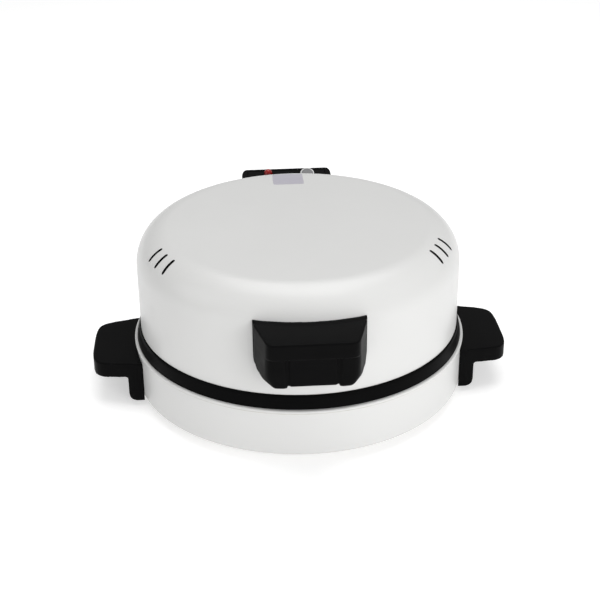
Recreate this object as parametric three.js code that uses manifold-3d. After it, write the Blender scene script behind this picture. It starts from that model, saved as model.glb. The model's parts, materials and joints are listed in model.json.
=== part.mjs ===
// An electric pizza maker: a round steel base holding a black baking pan, and a domed steel lid that swings
// up on a hinge at the back. Millimetres, +Z up, front at -Y, origin on the table under the pan's middle.
import * as THREE from "three";
import { mergeVertices } from "three/addons/utils/BufferGeometryUtils.js";
import Module from "manifold-3d";

const wasm = await Module();
wasm.setup();

// Driving dimensions

const lidRadius = 200; // outside of the lid's wall
const lidHeight = 126; // rim to the edge of the flat top
const lidCrown = 2.5; // rise of the top over its edge
const shoulderWidth = 42; // the lid's shoulder, seen from above
const shoulderDrop = 44; // the lid's shoulder, seen from the side
const sheet = 0.9; // thickness of the painted steel
const linerSheet = 0.7; // thickness of the aluminised steel
const baseFlare = 7; // how far the base's wall stands outside the lid's
const baseRadius = lidRadius + baseFlare;
const baseFoot = 11; // underside of the base over the table
const lipTop = 72; // top of the base's rolled lip
const bandHeight = 16.3; // black band of the pan that shows between base and lid
const seat = 0.3; // gap between two pieces that touch
const ringFacets = 48; // sides of every large round piece
const roundSides = 16; // sides of every small round piece
const overrun = 5; // how far a cutting shape runs past what it cuts
const handleDepth = 45; // how far the lid's handle and the control housing stand out from the lid
const reach = lidRadius + handleDepth;
const rimLow = lipTop + bandHeight + 2 * seat; // underside of the lid's rim
const lidTop = rimLow + lidHeight;

// Colours

const finish = (color, roughness, metalness) =>
  new THREE.MeshStandardMaterial({ color, roughness, metalness });
const whitePaint = finish(0xe6e6e4, 0.35, 0);
const bakelite = finish(0x171717, 0.45, 0);
const panCoating = finish(0x0f0f10, 0.35, 0.1);
const dullSteel = finish(0xb4b4b2, 0.35, 0.9);
const brightSteel = finish(0xc9c9c8, 0.22, 1);
const elementSheath = finish(0x5c5a55, 0.5, 0.8);
const ceramic = finish(0xe4ddca, 0.6, 0);
const redLens = finish(0xb5141a, 0.15, 0);
const rubber = finish(0x1d1d1d, 0.85, 0);

// Geometry helpers

// A closed geometry as a solid that can be joined and cut.
function solid(geometry) {
  const bare = new THREE.BufferGeometry();
  bare.setAttribute("position", geometry.getAttribute("position"));
  if (geometry.index) bare.setIndex(geometry.index);
  const merged = mergeVertices(bare, 1e-4);
  return new wasm.Manifold(
    new wasm.Mesh({
      numProp: 3,
      vertProperties: merged.attributes.position.array,
      triVerts: new Uint32Array(merged.index.array),
    }),
  );
}

// A solid's surface as a geometry.
function surface(made) {
  const mesh = made.getMesh();
  const geometry = new THREE.BufferGeometry();
  geometry.setAttribute("position", new THREE.BufferAttribute(new Float32Array(mesh.vertProperties), 3));
  return geometry.setIndex(new THREE.BufferAttribute(new Uint32Array(mesh.triVerts), 1));
}

// A named mesh of a solid.
function piece(name, made, material) {
  const geometry = surface(made);
  geometry.computeVertexNormals();
  const shown = new THREE.Mesh(geometry, material);
  shown.name = name;
  return shown;
}

const points = (pairs) => pairs.map(([a, b]) => new THREE.Vector2(a, b));

// A solid of revolution about Z. Its outline is (radius, height) pairs that close on themselves,
// or start and end on the axis, running up the outside.
function turned(outline, facets = ringFacets) {
  const onAxis = outline[0][0] === 0;
  const path = onAxis ? outline : [...outline, outline[0]];
  return solid(new THREE.LatheGeometry(points(path), facets).rotateX(Math.PI / 2));
}

// A prism along Z of an outline in (x, y).
function prismZ(outline, low, high) {
  const shape = outline instanceof THREE.Shape ? outline : new THREE.Shape(points(outline));
  const options = { depth: high - low, bevelEnabled: false, curveSegments: cornerSteps };
  return new THREE.ExtrudeGeometry(shape, options).translate(0, 0, low);
}

const cornerSteps = 6; // straight steps in each rounded corner
const upright = new THREE.Matrix4().makeBasis(
  new THREE.Vector3(0, 1, 0),
  new THREE.Vector3(0, 0, 1),
  new THREE.Vector3(1, 0, 0),
);

// A prism along X of an outline in (y, z), and one along Y of an outline in (x, z).
const prismX = (outline, low, high) => solid(prismZ(outline, low, high).applyMatrix4(upright));
const prismY = (outline, low, high) =>
  solid(prismZ(outline, -high, -low).rotateX(Math.PI / 2));

// A closed outline with each corner rounded by its own radius: [x, y, radius].
function rounded(corners) {
  const shape = new THREE.Shape();
  corners.forEach(([x, y, radius], i) => {
    const here = new THREE.Vector2(x, y);
    const [px, py] = corners[(i + corners.length - 1) % corners.length];
    const [nx, ny] = corners[(i + 1) % corners.length];
    const before = new THREE.Vector2(px, py).sub(here).normalize();
    const after = new THREE.Vector2(nx, ny).sub(here).normalize();
    const start = here.clone().addScaledVector(before, radius);
    const end = here.clone().addScaledVector(after, radius);
    if (i) shape.lineTo(start.x, start.y);
    else shape.moveTo(start.x, start.y);
    if (radius > 0) shape.quadraticCurveTo(x, y, end.x, end.y);
  });
  return shape;
}

// A box from its lowest to its highest corner.
function block([x0, y0, z0], [x1, y1, z1]) {
  const made = new THREE.BoxGeometry(x1 - x0, y1 - y0, z1 - z0);
  return solid(made.translate((x0 + x1) / 2, (y0 + y1) / 2, (z0 + z1) / 2));
}

// A cube that lies beyond the plane through three points, on the side of a fourth.
function outsideOf(a, b, c, beyond) {
  const plane = new THREE.Plane().setFromCoplanarPoints(a, b, c);
  if (plane.distanceToPoint(beyond) < 0) plane.negate();
  const size = 2 * Math.max(a.distanceTo(b), b.distanceTo(c), c.distanceTo(a));
  const made = new THREE.BoxGeometry(size, size, size).translate(0, 0, size / 2);
  made.applyQuaternion(
    new THREE.Quaternion().setFromUnitVectors(new THREE.Vector3(0, 0, 1), plane.normal),
  );
  const middle = a.clone().add(b).add(c).divideScalar(3);
  return solid(made.translate(...middle.toArray()));
}

// A round bar between two points.
function bar(from, to, radius, sides = 12) {
  const start = new THREE.Vector3(...from);
  const along = new THREE.Vector3(...to).sub(start);
  const made = new THREE.CylinderGeometry(radius, radius, along.length(), sides);
  made.translate(0, along.length() / 2, 0);
  made.applyQuaternion(
    new THREE.Quaternion().setFromUnitVectors(new THREE.Vector3(0, 1, 0), along.normalize()),
  );
  return solid(made.translate(...start.toArray()));
}

// A screw along a line: its head starts at the seat and its shank runs on from there.
const screwHeadRadius = 4.2;
const screwHeadHeight = 2.4;
const screwShankRadius = 2;
const screwSlotWidth = 1;
const screwSlotDepth = 1.2;
const screwSides = 10;

function screw(name, seatPoint, direction, length) {
  const slotHalf = screwSlotWidth / 2;
  const made = turned(
    [
      [0, -length],
      [screwShankRadius, -length],
      [screwShankRadius, 0],
      [screwHeadRadius, 0],
      [screwHeadRadius, screwHeadHeight * screwEdgeShare],
      [screwHeadRadius * screwCrownShare, screwHeadHeight],
      [0, screwHeadHeight],
    ],
    screwSides,
  ).subtract(
    block(
      [-screwHeadRadius - overrun, -slotHalf, screwHeadHeight - screwSlotDepth],
      [screwHeadRadius + overrun, slotHalf, screwHeadHeight + overrun],
    ),
  );
  const shown = piece(name, made, brightSteel);
  shown.position.set(...seatPoint);
  shown.quaternion.setFromUnitVectors(
    new THREE.Vector3(0, 0, -1),
    new THREE.Vector3(...direction).normalize(),
  );
  return shown;
}

const screwEdgeShare = 0.55;
const screwCrownShare = 0.8;

// The hole that such a screw's shank runs in.
const shankHole = (from, to) => bar(from, to, screwShankRadius + seat, screwSides);

const base = new THREE.Group();
const lid = new THREE.Group();

// Base shell: a drawn steel drum with a rolled lip above and a turned-in flange below

const lipOut = 1.6;
const lipRadius = baseRadius + lipOut;
const lipWidth = 6.5;
const lipBead = 3.6;
const edgeRadius = 4;
const bendShare = 0.3; // how far in the middle of a bend lies, of its radius
const flangeWidth = 24;
const baseInner = baseRadius - sheet;
const flangeInner = baseRadius - flangeWidth;

function baseShell() {
  return turned([
    [flangeInner, baseFoot],
    [baseRadius - edgeRadius, baseFoot],
    [baseRadius - edgeRadius * bendShare, baseFoot + edgeRadius * bendShare],
    [baseRadius, baseFoot + edgeRadius],
    [baseRadius, lipTop - lipBead - sheet],
    [lipRadius, lipTop - lipBead],
    [lipRadius, lipTop - sheet],
    [lipRadius - sheet, lipTop],
    [lipRadius - lipWidth, lipTop],
    [lipRadius - lipWidth, lipTop - sheet],
    [baseInner, lipTop - sheet - lipBead * bendShare],
    [baseInner, baseFoot + edgeRadius],
    [baseRadius - edgeRadius, baseFoot + sheet],
    [flangeInner, baseFoot + sheet],
  ]);
}

// Bottom plate: closes the base from inside, on the flange

const plateLow = baseFoot + sheet + seat;
const plateHigh = plateLow + sheet;
const plateMargin = 1;
const plateRadius = baseRadius - edgeRadius - plateMargin;
const studRadius = 3;
const ventSlotLength = 34;
const ventSlotWidth = 4;
const plateVentShare = 0.48;
const plateVentRadius = lidRadius * plateVentShare;
const plateVents = 6;

function bottomPlate() {
  let made = turned([
    [studRadius + seat, plateLow],
    [plateRadius, plateLow],
    [plateRadius, plateHigh],
    [studRadius + seat, plateHigh],
  ]);
  for (let i = 0; i < plateVents; i++) {
    const slot = new THREE.BoxGeometry(ventSlotLength, ventSlotWidth, overrun * 2)
      .translate(plateVentRadius, 0, plateLow)
      .rotateZ(((i + 0.5) / plateVents) * Math.PI * 2);
    made = made.subtract(solid(slot));
  }
  return made;
}

// Feet: four rubber feet, each held up to the bottom plate by a screw in its recess

const footRadius = 12;
const footTaper = 1.5;
const footInset = 49;
const footCircle = baseRadius - footInset;
const footRecess = 5.2;
const footWeb = 5.5;
const footTop = plateLow - seat;
const footSides = 16;
const footScrewLength = 11;

function foot() {
  return turned(
    [
      [footRecess, 0],
      [footRadius - footTaper, 0],
      [footRadius, footTaper],
      [footRadius, footTop],
      [screwShankRadius + seat, footTop],
      [screwShankRadius + seat, footTop - footWeb],
      [footRecess, footTop - footWeb],
    ],
    footSides,
  );
}

// Lower reflector: a pressed dish under the element, standing on the bottom plate by its middle

const dishBoss = 16;
const dishRise = 24;
const dishLow = 24;
const dishInset = 21;
const dishWall = baseRadius - dishInset;
const dishTopDrop = 14;
const dishTop = lipTop - dishTopDrop;
const dishFlange = baseInner - seat * 2;
const lowerElementRise = 19;
const lowerElementHeight = dishLow + lowerElementRise;
const elementRadius = 3.3;
const elementGap = 15;

function lowerReflector() {
  const boss = plateHigh + seat;
  return turned([
    [studRadius + seat, boss],
    [dishBoss, boss],
    [dishRise, dishLow],
    [dishWall, dishLow],
    [dishWall + sheet, dishTop - linerSheet],
    [dishFlange, dishTop - linerSheet],
    [dishFlange, dishTop],
    [dishWall, dishTop],
    [dishWall - sheet, dishLow + linerSheet],
    [dishRise - linerSheet, dishLow + linerSheet],
    [dishBoss - linerSheet, boss + linerSheet],
    [studRadius + seat, boss + linerSheet],
  ]);
}

// Tubular elements: a ring open at the back, whose two ends run out to their terminals

const elementShare = 0.64;
const elementCircle = lidRadius * elementShare;
const elementEnd = 24;
const elementSides = 8;
const elementSteps = 38;

class ElementLine extends THREE.Curve {
  constructor(height, ends) {
    super();
    this.height = height;
    this.ends = ends;
    this.turn = elementCircle * (2 * Math.PI - 2 * elementGapAngle);
    this.total = this.turn + 2 * ends;
  }
  getPoint(t, target = new THREE.Vector3()) {
    const along = t * this.total;
    const arc = Math.min(Math.max(along - this.ends, 0), this.turn);
    const angle = Math.PI / 2 + elementGapAngle + arc / elementCircle;
    const past = along < this.ends ? this.ends - along : Math.max(0, along - this.ends - this.turn);
    const x = elementCircle * Math.cos(angle);
    return target.set(x, elementCircle * Math.sin(angle) + past, this.height);
  }
}

const elementGapAngle = Math.asin(elementGap / elementCircle);
const curveTension = 0.5;

function elementTube(height, ends, radius) {
  const section = new THREE.Shape().absarc(0, 0, radius, 0, Math.PI * 2, false);
  const corner = new THREE.CatmullRomCurve3(
    new ElementLine(height, ends).getPoints(elementSteps),
    false,
    "catmullrom",
    curveTension,
  );
  return solid(
    new THREE.ExtrudeGeometry(section, {
      steps: elementSteps,
      extrudePath: corner,
      curveSegments: elementSides / 2,
      bevelEnabled: false,
    }),
  );
}

// A clip that carries an element from the sheet below or above it, at an angle round the ring.
const clipWidth = 9;
const clipDepth = 13;
const clipHook = 2;
const clipAngles = [-90, 30, 150];

function elementClip(name, degrees, sheetFace, elementHeight) {
  const hook = elementHeight + Math.sign(elementHeight - sheetFace) * (elementRadius + clipHook);
  const made = block(
    [elementCircle - clipDepth / 2, -clipWidth / 2, Math.min(sheetFace, hook)],
    [elementCircle + clipDepth / 2, clipWidth / 2, Math.max(sheetFace, hook)],
  ).subtract(
    bar(
      [elementCircle, -clipWidth, elementHeight],
      [elementCircle, clipWidth, elementHeight],
      elementRadius + 2 * seat,
    ),
  );
  const shown = piece(name, made, dullSteel);
  shown.rotation.z = THREE.MathUtils.degToRad(degrees);
  return shown;
}

// Baking pan: a black coated dish whose band shows between the base and the lid

const bandLow = lipTop + seat;
const bandHigh = bandLow + bandHeight;
const bandLowIn = 1.4;
const bandLowRadius = baseRadius - bandLowIn;
const bandHighOut = 1.2;
const bandHighRadius = lidRadius + bandHighOut;
const panSheet = 1.7;
const panFloorDrop = 10;
const panFloor = lipTop - panFloorDrop;
const panFloorInset = 22;
const panFloorRadius = lidRadius - panFloorInset;
const panWallFoot = 4;
const panRimWidth = 5;
const panWallRadius = bandHighRadius - panRimWidth;

function bakingPan() {
  return turned([
    [0, panFloor],
    [panFloorRadius + panSheet, panFloor],
    [panFloorRadius + panWallFoot + panSheet, panFloor + panWallFoot],
    [panWallRadius + panSheet * bendShare, bandHigh - panSheet - 2 * seat],
    [bandHighRadius - panSheet, bandHigh - panSheet],
    [bandLowRadius - panSheet, bandLow],
    [bandLowRadius, bandLow],
    [bandHighRadius + panSheet * bendShare, bandHigh - panSheet * (1 - bendShare)],
    [bandHighRadius, bandHigh],
    [panWallRadius, bandHigh],
    [panWallRadius - panSheet, bandHigh - panSheet],
    [panFloorRadius + panWallFoot, panFloor + panSheet + panWallFoot],
    [panFloorRadius, panFloor + panSheet],
    [0, panFloor + panSheet],
  ]);
}

// Pan stud: holds the pan down, with its nut under the bottom plate

const studLow = 4;
const nutRadius = 5.5;
const nutHeight = 4.5;
const nutSides = 6;

const panStud = () => bar([0, 0, studLow], [0, 0, panFloor - seat], studRadius);
const studNut = () =>
  bar([0, 0, plateLow - seat - nutHeight], [0, 0, plateLow - seat], nutRadius, nutSides).subtract(
    bar([0, 0, 0], [0, 0, plateHigh], studRadius + seat),
  );

// Side handles: an angle of black bakelite, its leg against the base's wall and its grip standing out

const gripDrop = 12;
const gripTop = lipTop - gripDrop;
const gripThickness = 20;
const gripLength = 55;
const gripEnd = baseRadius + gripLength;
const gripRootHalf = 62;
const gripEndHalf = 52;
const gripCorner = 17;
const gripBow = 4;
const gripBowHalf = 20;
const gripBowCorner = 11;
const gripDroop = 2.5;
const gripTopCorner = 4;
const gripUnderCorner = 5;
const gripInnerCorner = 2.5;
const legThickness = 10;
const legOut = baseRadius + legThickness;
const legLow = 7;
const legCorner = 10;
const facetGap = 0.15;
const wallGap = seat + facetGap; // over a faceted wall
const handleScrewSide = 34;
const handleScrewDrop = 16;
const handleScrewHeight = gripTop - handleScrewDrop;
const handleScrewBite = 22;

function sideHandle() {
  const inside = baseRadius - overrun * 4;
  const plan = rounded([
    [inside, -gripRootHalf, 0],
    [baseRadius, -gripRootHalf, 0],
    [gripEnd - gripBow, -gripEndHalf, gripCorner],
    [gripEnd, -gripBowHalf, gripBowCorner],
    [gripEnd, gripBowHalf, gripBowCorner],
    [gripEnd - gripBow, gripEndHalf, gripCorner],
    [baseRadius, gripRootHalf, 0],
    [inside, gripRootHalf, 0],
  ]);
  const section = rounded([
    [inside, legLow, 0],
    [legOut, legLow, legCorner],
    [legOut, gripTop - gripThickness, gripInnerCorner],
    [gripEnd, gripTop - gripThickness - gripDroop, gripUnderCorner],
    [gripEnd, gripTop - gripDroop, gripTopCorner],
    [baseRadius, gripTop, 0],
    [inside, gripTop, 0],
  ]);
  const wall = turned([
    [0, -overrun],
    [baseRadius + wallGap, -overrun],
    [baseRadius + wallGap, lipTop + overrun],
    [0, lipTop + overrun],
  ]);
  let made = solid(prismZ(plan, legLow - overrun, gripTop + overrun))
    .intersect(prismY(section, -gripRootHalf - overrun, gripRootHalf + overrun))
    .subtract(wall);
  for (const side of [-1, 1]) {
    made = made.subtract(
      shankHole(
        [inside, side * handleScrewSide, handleScrewHeight],
        [baseInner + handleScrewBite, side * handleScrewSide, handleScrewHeight],
      ),
    );
  }
  return made;
}

// How far out a flat screw head reaches the inside of a faceted wall, at an offset from the middle.
const facetShare = Math.cos(Math.PI / ringFacets);
const headSeat = (radius, offset) =>
  Math.sqrt((radius * facetShare) ** 2 - (offset + screwHeadRadius) ** 2) - seat;

// Hinge at the back: a bracket on the base with two ears, and a pin that the control housing turns on

const pivotDistance = 19;
const pivotBack = baseRadius + pivotDistance;
const pivotRise = 11;
const pivotHeight = lipTop + pivotRise;
const pinRadius = 3;
const pinGap = 0.35;
const pinHalf = 55;
const earRadius = 9;
const earInner = 42;
const earOuter = 53;
const bracketHalf = 53;
const bracketBehind = 5;
const bracketBack = pivotBack + bracketBehind;
const bracketLow = 16;
const bracketDrop = 3;
const bracketTop = lipTop - bracketDrop;
const bracketWall = 4;
const bracketScrewSide = 30;
const bracketScrewDrop = 23;
const bracketScrewHeight = bracketTop - bracketScrewDrop;
const bracketLowCorner = 5;
const bracketTopCorner = 3;
const bracketScrewBite = 13;
const bushHeight = 30;
const bushRadius = 5.5;
const bushFlange = 8;
const bushBore = 3.5;
const bushProud = 3;
const bushEdge = 1;

function hingeBracket() {
  const inside = baseRadius - overrun * 4;
  const wall = turned([
    [0, -overrun],
    [baseRadius + wallGap, -overrun],
    [baseRadius + wallGap, lipTop - lipBead - 2 * sheet],
    [lipRadius + wallGap, lipTop - lipBead - sheet],
    [lipRadius + wallGap, lipTop + 2 * overrun],
    [0, lipTop + 2 * overrun],
  ]);
  const section = rounded([
    [inside, bracketLow, 0],
    [bracketBack, bracketLow, bracketLowCorner],
    [bracketBack, bracketTop, bracketTopCorner],
    [inside, bracketTop, 0],
  ]);
  const ear = new THREE.Shape();
  ear.moveTo(pivotBack - earRadius, bracketLow + overrun);
  ear.lineTo(bracketBack, bracketLow + overrun);
  ear.lineTo(bracketBack, bracketTop);
  ear.lineTo(pivotBack + earRadius, pivotHeight);
  ear.absarc(pivotBack, pivotHeight, earRadius, 0, Math.PI, false);
  let made = prismX(section, -bracketHalf, bracketHalf);
  for (const side of [-1, 1]) {
    const near = Math.min(side * earInner, side * earOuter);
    made = made.add(prismX(ear, near, near + earOuter - earInner));
  }
  const pocket = block(
    [-earInner, inside, bracketLow + bracketWall],
    [earInner, bracketBack - bracketWall, bracketTop - bracketWall],
  );
  const boss = (side) =>
    block(
      [side * bracketScrewSide - screwHeadRadius, inside, bracketScrewHeight - screwHeadRadius],
      [
        side * bracketScrewSide + screwHeadRadius,
        bracketBack - bracketWall / 2,
        bracketScrewHeight + screwHeadRadius,
      ],
    );
  made = made.subtract(pocket).add(boss(-1)).add(boss(1)).subtract(wall);
  for (const side of [-1, 1]) {
    made = made.subtract(
      shankHole(
        [side * bracketScrewSide, inside, bracketScrewHeight],
        [side * bracketScrewSide, baseInner + bracketScrewBite + sheet, bracketScrewHeight],
      ),
    );
  }
  return made
    .subtract(pinBar(pinHalf + overrun, pinRadius + pinGap))
    .subtract(
      bar(
        [0, bracketBack - bracketWall - overrun, bushHeight],
        [0, bracketBack + overrun, bushHeight],
        bushRadius + seat,
        roundSides,
      ),
    );
}

// A bar along the pin's axis.
const pinBar = (half, radius) =>
  bar([-half, pivotBack, pivotHeight], [half, pivotBack, pivotHeight], radius, roundSides);

const hingePin = () => pinBar(pinHalf, pinRadius);

// Cord bush: the rubber bush in the bracket's back wall where a supply cord goes in
function cordBush() {
  return turned(
    [
      [bushBore, -bracketWall - seat],
      [bushRadius, -bracketWall - seat],
      [bushRadius, seat],
      [bushFlange, seat],
      [bushFlange - bushEdge, bushProud],
      [bushBore, bushProud],
    ],
    roundSides,
  );
}

// Terminal block: white ceramic, on the bottom plate behind the reflector's middle
const terminalWidth = 36;
const terminalDepth = 16;
const terminalHeight = 8.5;
const terminalPoles = 3;
const terminalSlotHalf = 3;
const terminalSlotDepth = 2.5;

function terminalBlock() {
  const wide = terminalWidth / 2;
  const deep = terminalDepth / 2;
  const low = plateHigh + seat;
  const high = low + terminalHeight;
  let made = block([-wide, -deep, low], [wide, deep, high]);
  for (let i = 0; i < terminalPoles; i++) {
    const x = ((i + 0.5) / terminalPoles) * terminalWidth - wide;
    made = made.subtract(
      block(
        [x - terminalSlotHalf, -deep - overrun, high - terminalSlotDepth],
        [x + terminalSlotHalf, deep + overrun, high + overrun],
      ),
    );
  }
  return made;
}
const terminalInset = 36;
const terminalBack = dishWall - terminalInset;

// Lid shell: a drawn steel dome with three vent slots on each front shoulder

const flatRadius = lidRadius - shoulderWidth;
const shoulderSteps = 6;
const crownSteps = 2;
const slotOuterInset = 8.7;
const slotLength = 17.8;
const slotOuter = lidRadius - slotOuterInset;
const slotWidth = 4.6;
const slotStep = 6; // degrees between slots
const slotMiddle = 24.5; // degrees forward of the side handle
const liftHole = 4.6;

// A bore along Y that an end of the upper element passes through.
const elementBore = (x, from, to) =>
  bar([x, from, upperElementHeight], [x, to, upperElementHeight], liftHole);

function domeOutline(inset) {
  const outline = [[lidRadius - inset, rimLow]];
  for (let i = 0; i <= shoulderSteps; i++) {
    const angle = ((i / shoulderSteps) * Math.PI) / 2;
    outline.push([
      flatRadius + (shoulderWidth - inset) * Math.cos(angle),
      lidTop - shoulderDrop + (shoulderDrop - inset) * Math.sin(angle),
    ]);
  }
  for (let i = 1; i <= crownSteps; i++) {
    const radius = flatRadius * (1 - i / crownSteps);
    outline.push([radius, lidTop - inset + lidCrown * (1 - (radius / flatRadius) ** 2)]);
  }
  return outline;
}

function lidShell() {
  let made = turned([...domeOutline(sheet).reverse(), ...domeOutline(0)]);
  for (const side of [-1, 1]) {
    for (const row of [-1, 0, 1]) {
      const degrees = -90 + side * (90 - slotMiddle + row * slotStep);
      const slot = new THREE.BoxGeometry(slotLength, slotWidth, shoulderDrop)
        .translate(slotOuter - slotLength / 2, 0, lidTop)
        .rotateZ(THREE.MathUtils.degToRad(degrees));
      made = made.subtract(solid(slot));
    }
  }
  for (const side of [-1, 1]) {
    const x = side * elementGap;
    made = made.subtract(elementBore(x, lidRadius - overrun * 3, lidRadius + overrun));
  }
  for (const [x, y, z, back] of lidScrewHoles) {
    made = made.subtract(shankHole([x, y, z], [x, y + back, z]));
  }
  return made;
}

// Lid liner: the reflector inside the lid, with its rim turned out to the wall

const linerInset = 16;
const linerRadius = lidRadius - linerInset;
const linerDrop = 29;
const linerTop = lidTop - linerDrop;
const linerCorner = 26;
const linerRim = lidRadius - sheet - 2 * seat;
const linerRise = 6;
const linerLow = rimLow + linerRise;
const upperElementDrop = 24;
const upperElementHeight = linerTop - upperElementDrop;

function lidLiner() {
  const outline = (inset) => [
    [linerRadius - inset, linerLow + linerSheet],
    [linerRadius - inset, linerTop - linerCorner],
    [linerRadius - inset - linerCorner * bendShare, linerTop - linerCorner * bendShare],
    [linerRadius - linerCorner, linerTop - inset],
    [0, linerTop - inset],
  ];
  const outer = outline(0);
  const inner = outline(linerSheet);
  let made = turned([
    ...inner.reverse(),
    [linerRadius - linerSheet, linerLow],
    [linerRim, linerLow],
    [linerRim, linerLow + linerSheet],
    ...outer,
  ]);
  for (const side of [-1, 1]) {
    const x = side * elementGap;
    made = made.subtract(
      elementBore(x, elementCircle + overrun, linerRadius + overrun),
    );
  }
  return made;
}

// Front handle: a hood of black bakelite on the lid's wall, with a pocket for the fingers under it

const hoodDrop = 32.4;
const hoodHeight = 60;
const hoodCapHeight = 21.5;
const hoodFrontDrop = 2.5;
const hoodBackRise = 6;
const hoodTop = lidTop - hoodDrop;
const hoodFrontTop = hoodTop - hoodFrontDrop;
const hoodLedge = hoodTop - hoodCapHeight;
const hoodLow = hoodTop - hoodHeight;
const hoodBackLow = hoodLow + hoodBackRise;
const hoodWallHalf = 64;
const hoodFrontHalf = 50;
const hoodStep = 2.2;
const hoodLowEdge = 3;
const hoodLedgeEdge = 0.8;
const hoodTopEdge = 3;
const hoodCorner = 9;
const hoodLowCorner = 15;
const hoodCutIn = 9; // how far a lower front corner is cut off inwards,
const hoodCutBack = 26; // back along its cheek,
const hoodCutUp = 15; // and up
const flangeThickness = 4.5;
const flangeMargin = 1.2;
const pocketHalf = 34;
const pocketFrontWall = 7;
const pocketBackWall = 8;
const pocketRoof = 9;
const fluteSide = 28.5;
const fluteRadius = 3.4;
const fluteOut = 1;
const fluteShort = 1; // how far a flute ends below the ledge
const apronRaise = 4;
const apronBack = 1;
const hoodScrewSide = 50;
const hoodScrewDrop = 30.5;
const hoodScrewHeight = hoodTop - hoodScrewDrop;
const hoodScrewBite = 16;
const coverScrewProud = screwHeadHeight / 2 + seat;

function domeCutter(gap) {
  const outline = domeOutline(-gap);
  return turned([[0, -overrun], [outline[0][0], -overrun], ...outline]);
}

function frontHandle() {
  const back = -lidRadius + shoulderWidth / 2;
  const front = -reach - coverScrewProud; // level with the screw heads at the back
  const section = rounded([
    [back, hoodTop - flangeMargin, 0],
    [back, hoodBackLow, 0],
    [front + hoodStep, hoodLow, hoodLowEdge],
    [front, hoodLedge, hoodLedgeEdge],
    [front, hoodFrontTop, hoodTopEdge],
    [-lidRadius, hoodTop - flangeMargin, 0],
  ]);
  const wall = -lidRadius * facetShare;
  const root = hoodWallHalf - flangeMargin;
  const taper = (root - hoodFrontHalf) / (wall - front);
  const plan = (inset) => {
    const half = hoodFrontHalf + inset * taper;
    return rounded([
      [-root, back, 0],
      [-root, wall, 0],
      [-half, front + inset, hoodCorner],
      [half, front + inset, hoodCorner],
      [root, wall, 0],
      [root, back, 0],
    ]);
  };
  const face = (inset) =>
    rounded([
      [-hoodWallHalf + inset, hoodTop, 0],
      [-hoodWallHalf + inset, hoodLow + inset / 2, hoodLowCorner],
      [hoodWallHalf - inset, hoodLow + inset / 2, hoodLowCorner],
      [hoodWallHalf - inset, hoodTop, 0],
    ]);
  const frontFace = front + hoodStep;
  const ends = [front - overrun, back + overrun];
  const hood = prismX(section, -hoodWallHalf, hoodWallHalf).intersect(prismY(face(flangeMargin), ...ends));
  const cap = hood.intersect(solid(prismZ(plan(0), hoodLedge, hoodTop + overrun)));
  const apron = hood.intersect(solid(prismZ(plan(hoodStep), hoodLow - overrun, hoodLedge + overrun)));
  const flange = prismY(face(0), ...ends).intersect(domeCutter(flangeThickness + wallGap));
  let made = cap
    .add(apron)
    .add(flange)
    .subtract(
      block(
        [-pocketHalf, frontFace + pocketFrontWall, hoodLow - overrun],
        [pocketHalf, -lidRadius - pocketBackWall, hoodTop - pocketRoof],
      ),
    )
    .subtract(
      block(
        [-fluteSide, front - overrun, hoodLow - overrun],
        [fluteSide, -lidRadius - flangeThickness - apronBack, hoodLow + apronRaise],
      ),
    );
  for (const side of [-1, 1]) {
    const x = side * fluteSide;
    made = made.subtract(
      bar(
        [x, frontFace - fluteOut, hoodLow - overrun],
        [x, frontFace - fluteOut, hoodLedge - fluteShort],
        fluteRadius,
      ),
    );
    const sunk = -headSeat(lidRadius - sheet, hoodScrewSide) - hoodScrewBite - seat;
    const along = side * hoodScrewSide;
    made = made.subtract(
      shankHole([along, back, hoodScrewHeight], [along, sunk, hoodScrewHeight]),
    );
    const corner = new THREE.Vector3(side * (hoodFrontHalf + hoodStep * taper), frontFace, hoodLow);
    const cheek = new THREE.Vector3(side * root, wall, hoodBackLow).sub(corner).normalize();
    made = made.subtract(
      outsideOf(
        corner.clone().add(new THREE.Vector3(-side * hoodCutIn, 0, 0)),
        corner.clone().addScaledVector(cheek, hoodCutBack),
        corner.clone().add(new THREE.Vector3(0, 0, hoodCutUp)),
        corner,
      ),
    );
  }
  return made.subtract(domeCutter(wallGap));
}

// Control housing: a black box on the back of the lid, whose sloping top carries the lamp and the knob

const slopeDegrees = 27;
const slope = THREE.MathUtils.degToRad(slopeDegrees);
const housingDrop = 21.5;
const housingTop = lidTop - housingDrop;
const housingHalf = 62.5;
const housingRise = 9.1;
const housingLow = rimLow + housingRise;
const housingWall = 2.8;
const housingCorner = 12;
const housingTopCorner = 8;
const housingLowCorner = 4;
const housingLowEdge = 5;
const housingTopEdge = 4;
const openSideMargin = 6.5;
const openHalf = housingHalf - openSideMargin;
const openLowMargin = 5;
const openHighMargin = 14.5;
const openLow = housingLow + openLowMargin;
const openHigh = housingTop - openHighMargin;
const bossWidth = 11;
const bossDepth = 18;
const coverScrewInset = 5;
const coverScrewSide = openHalf - coverScrewInset;
const coverScrewLength = 14;
const lugHalf = 6;
const lugMiddle = 34.5;
const lugRadius = 8;
const housingScrewSide = 38;
const housingScrewRise = 22;
const housingScrewHeight = housingLow + housingScrewRise;
const housingScrewBite = 9;

const slopeZ = (back) => housingTop - (reach - back) * Math.tan(slope);
const topWallShare = 1.2; // the sloping top's wall, measured straight down
const topWall = housingWall * topWallShare;
const panelBacking = topWall * Math.cos(slope);

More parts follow.
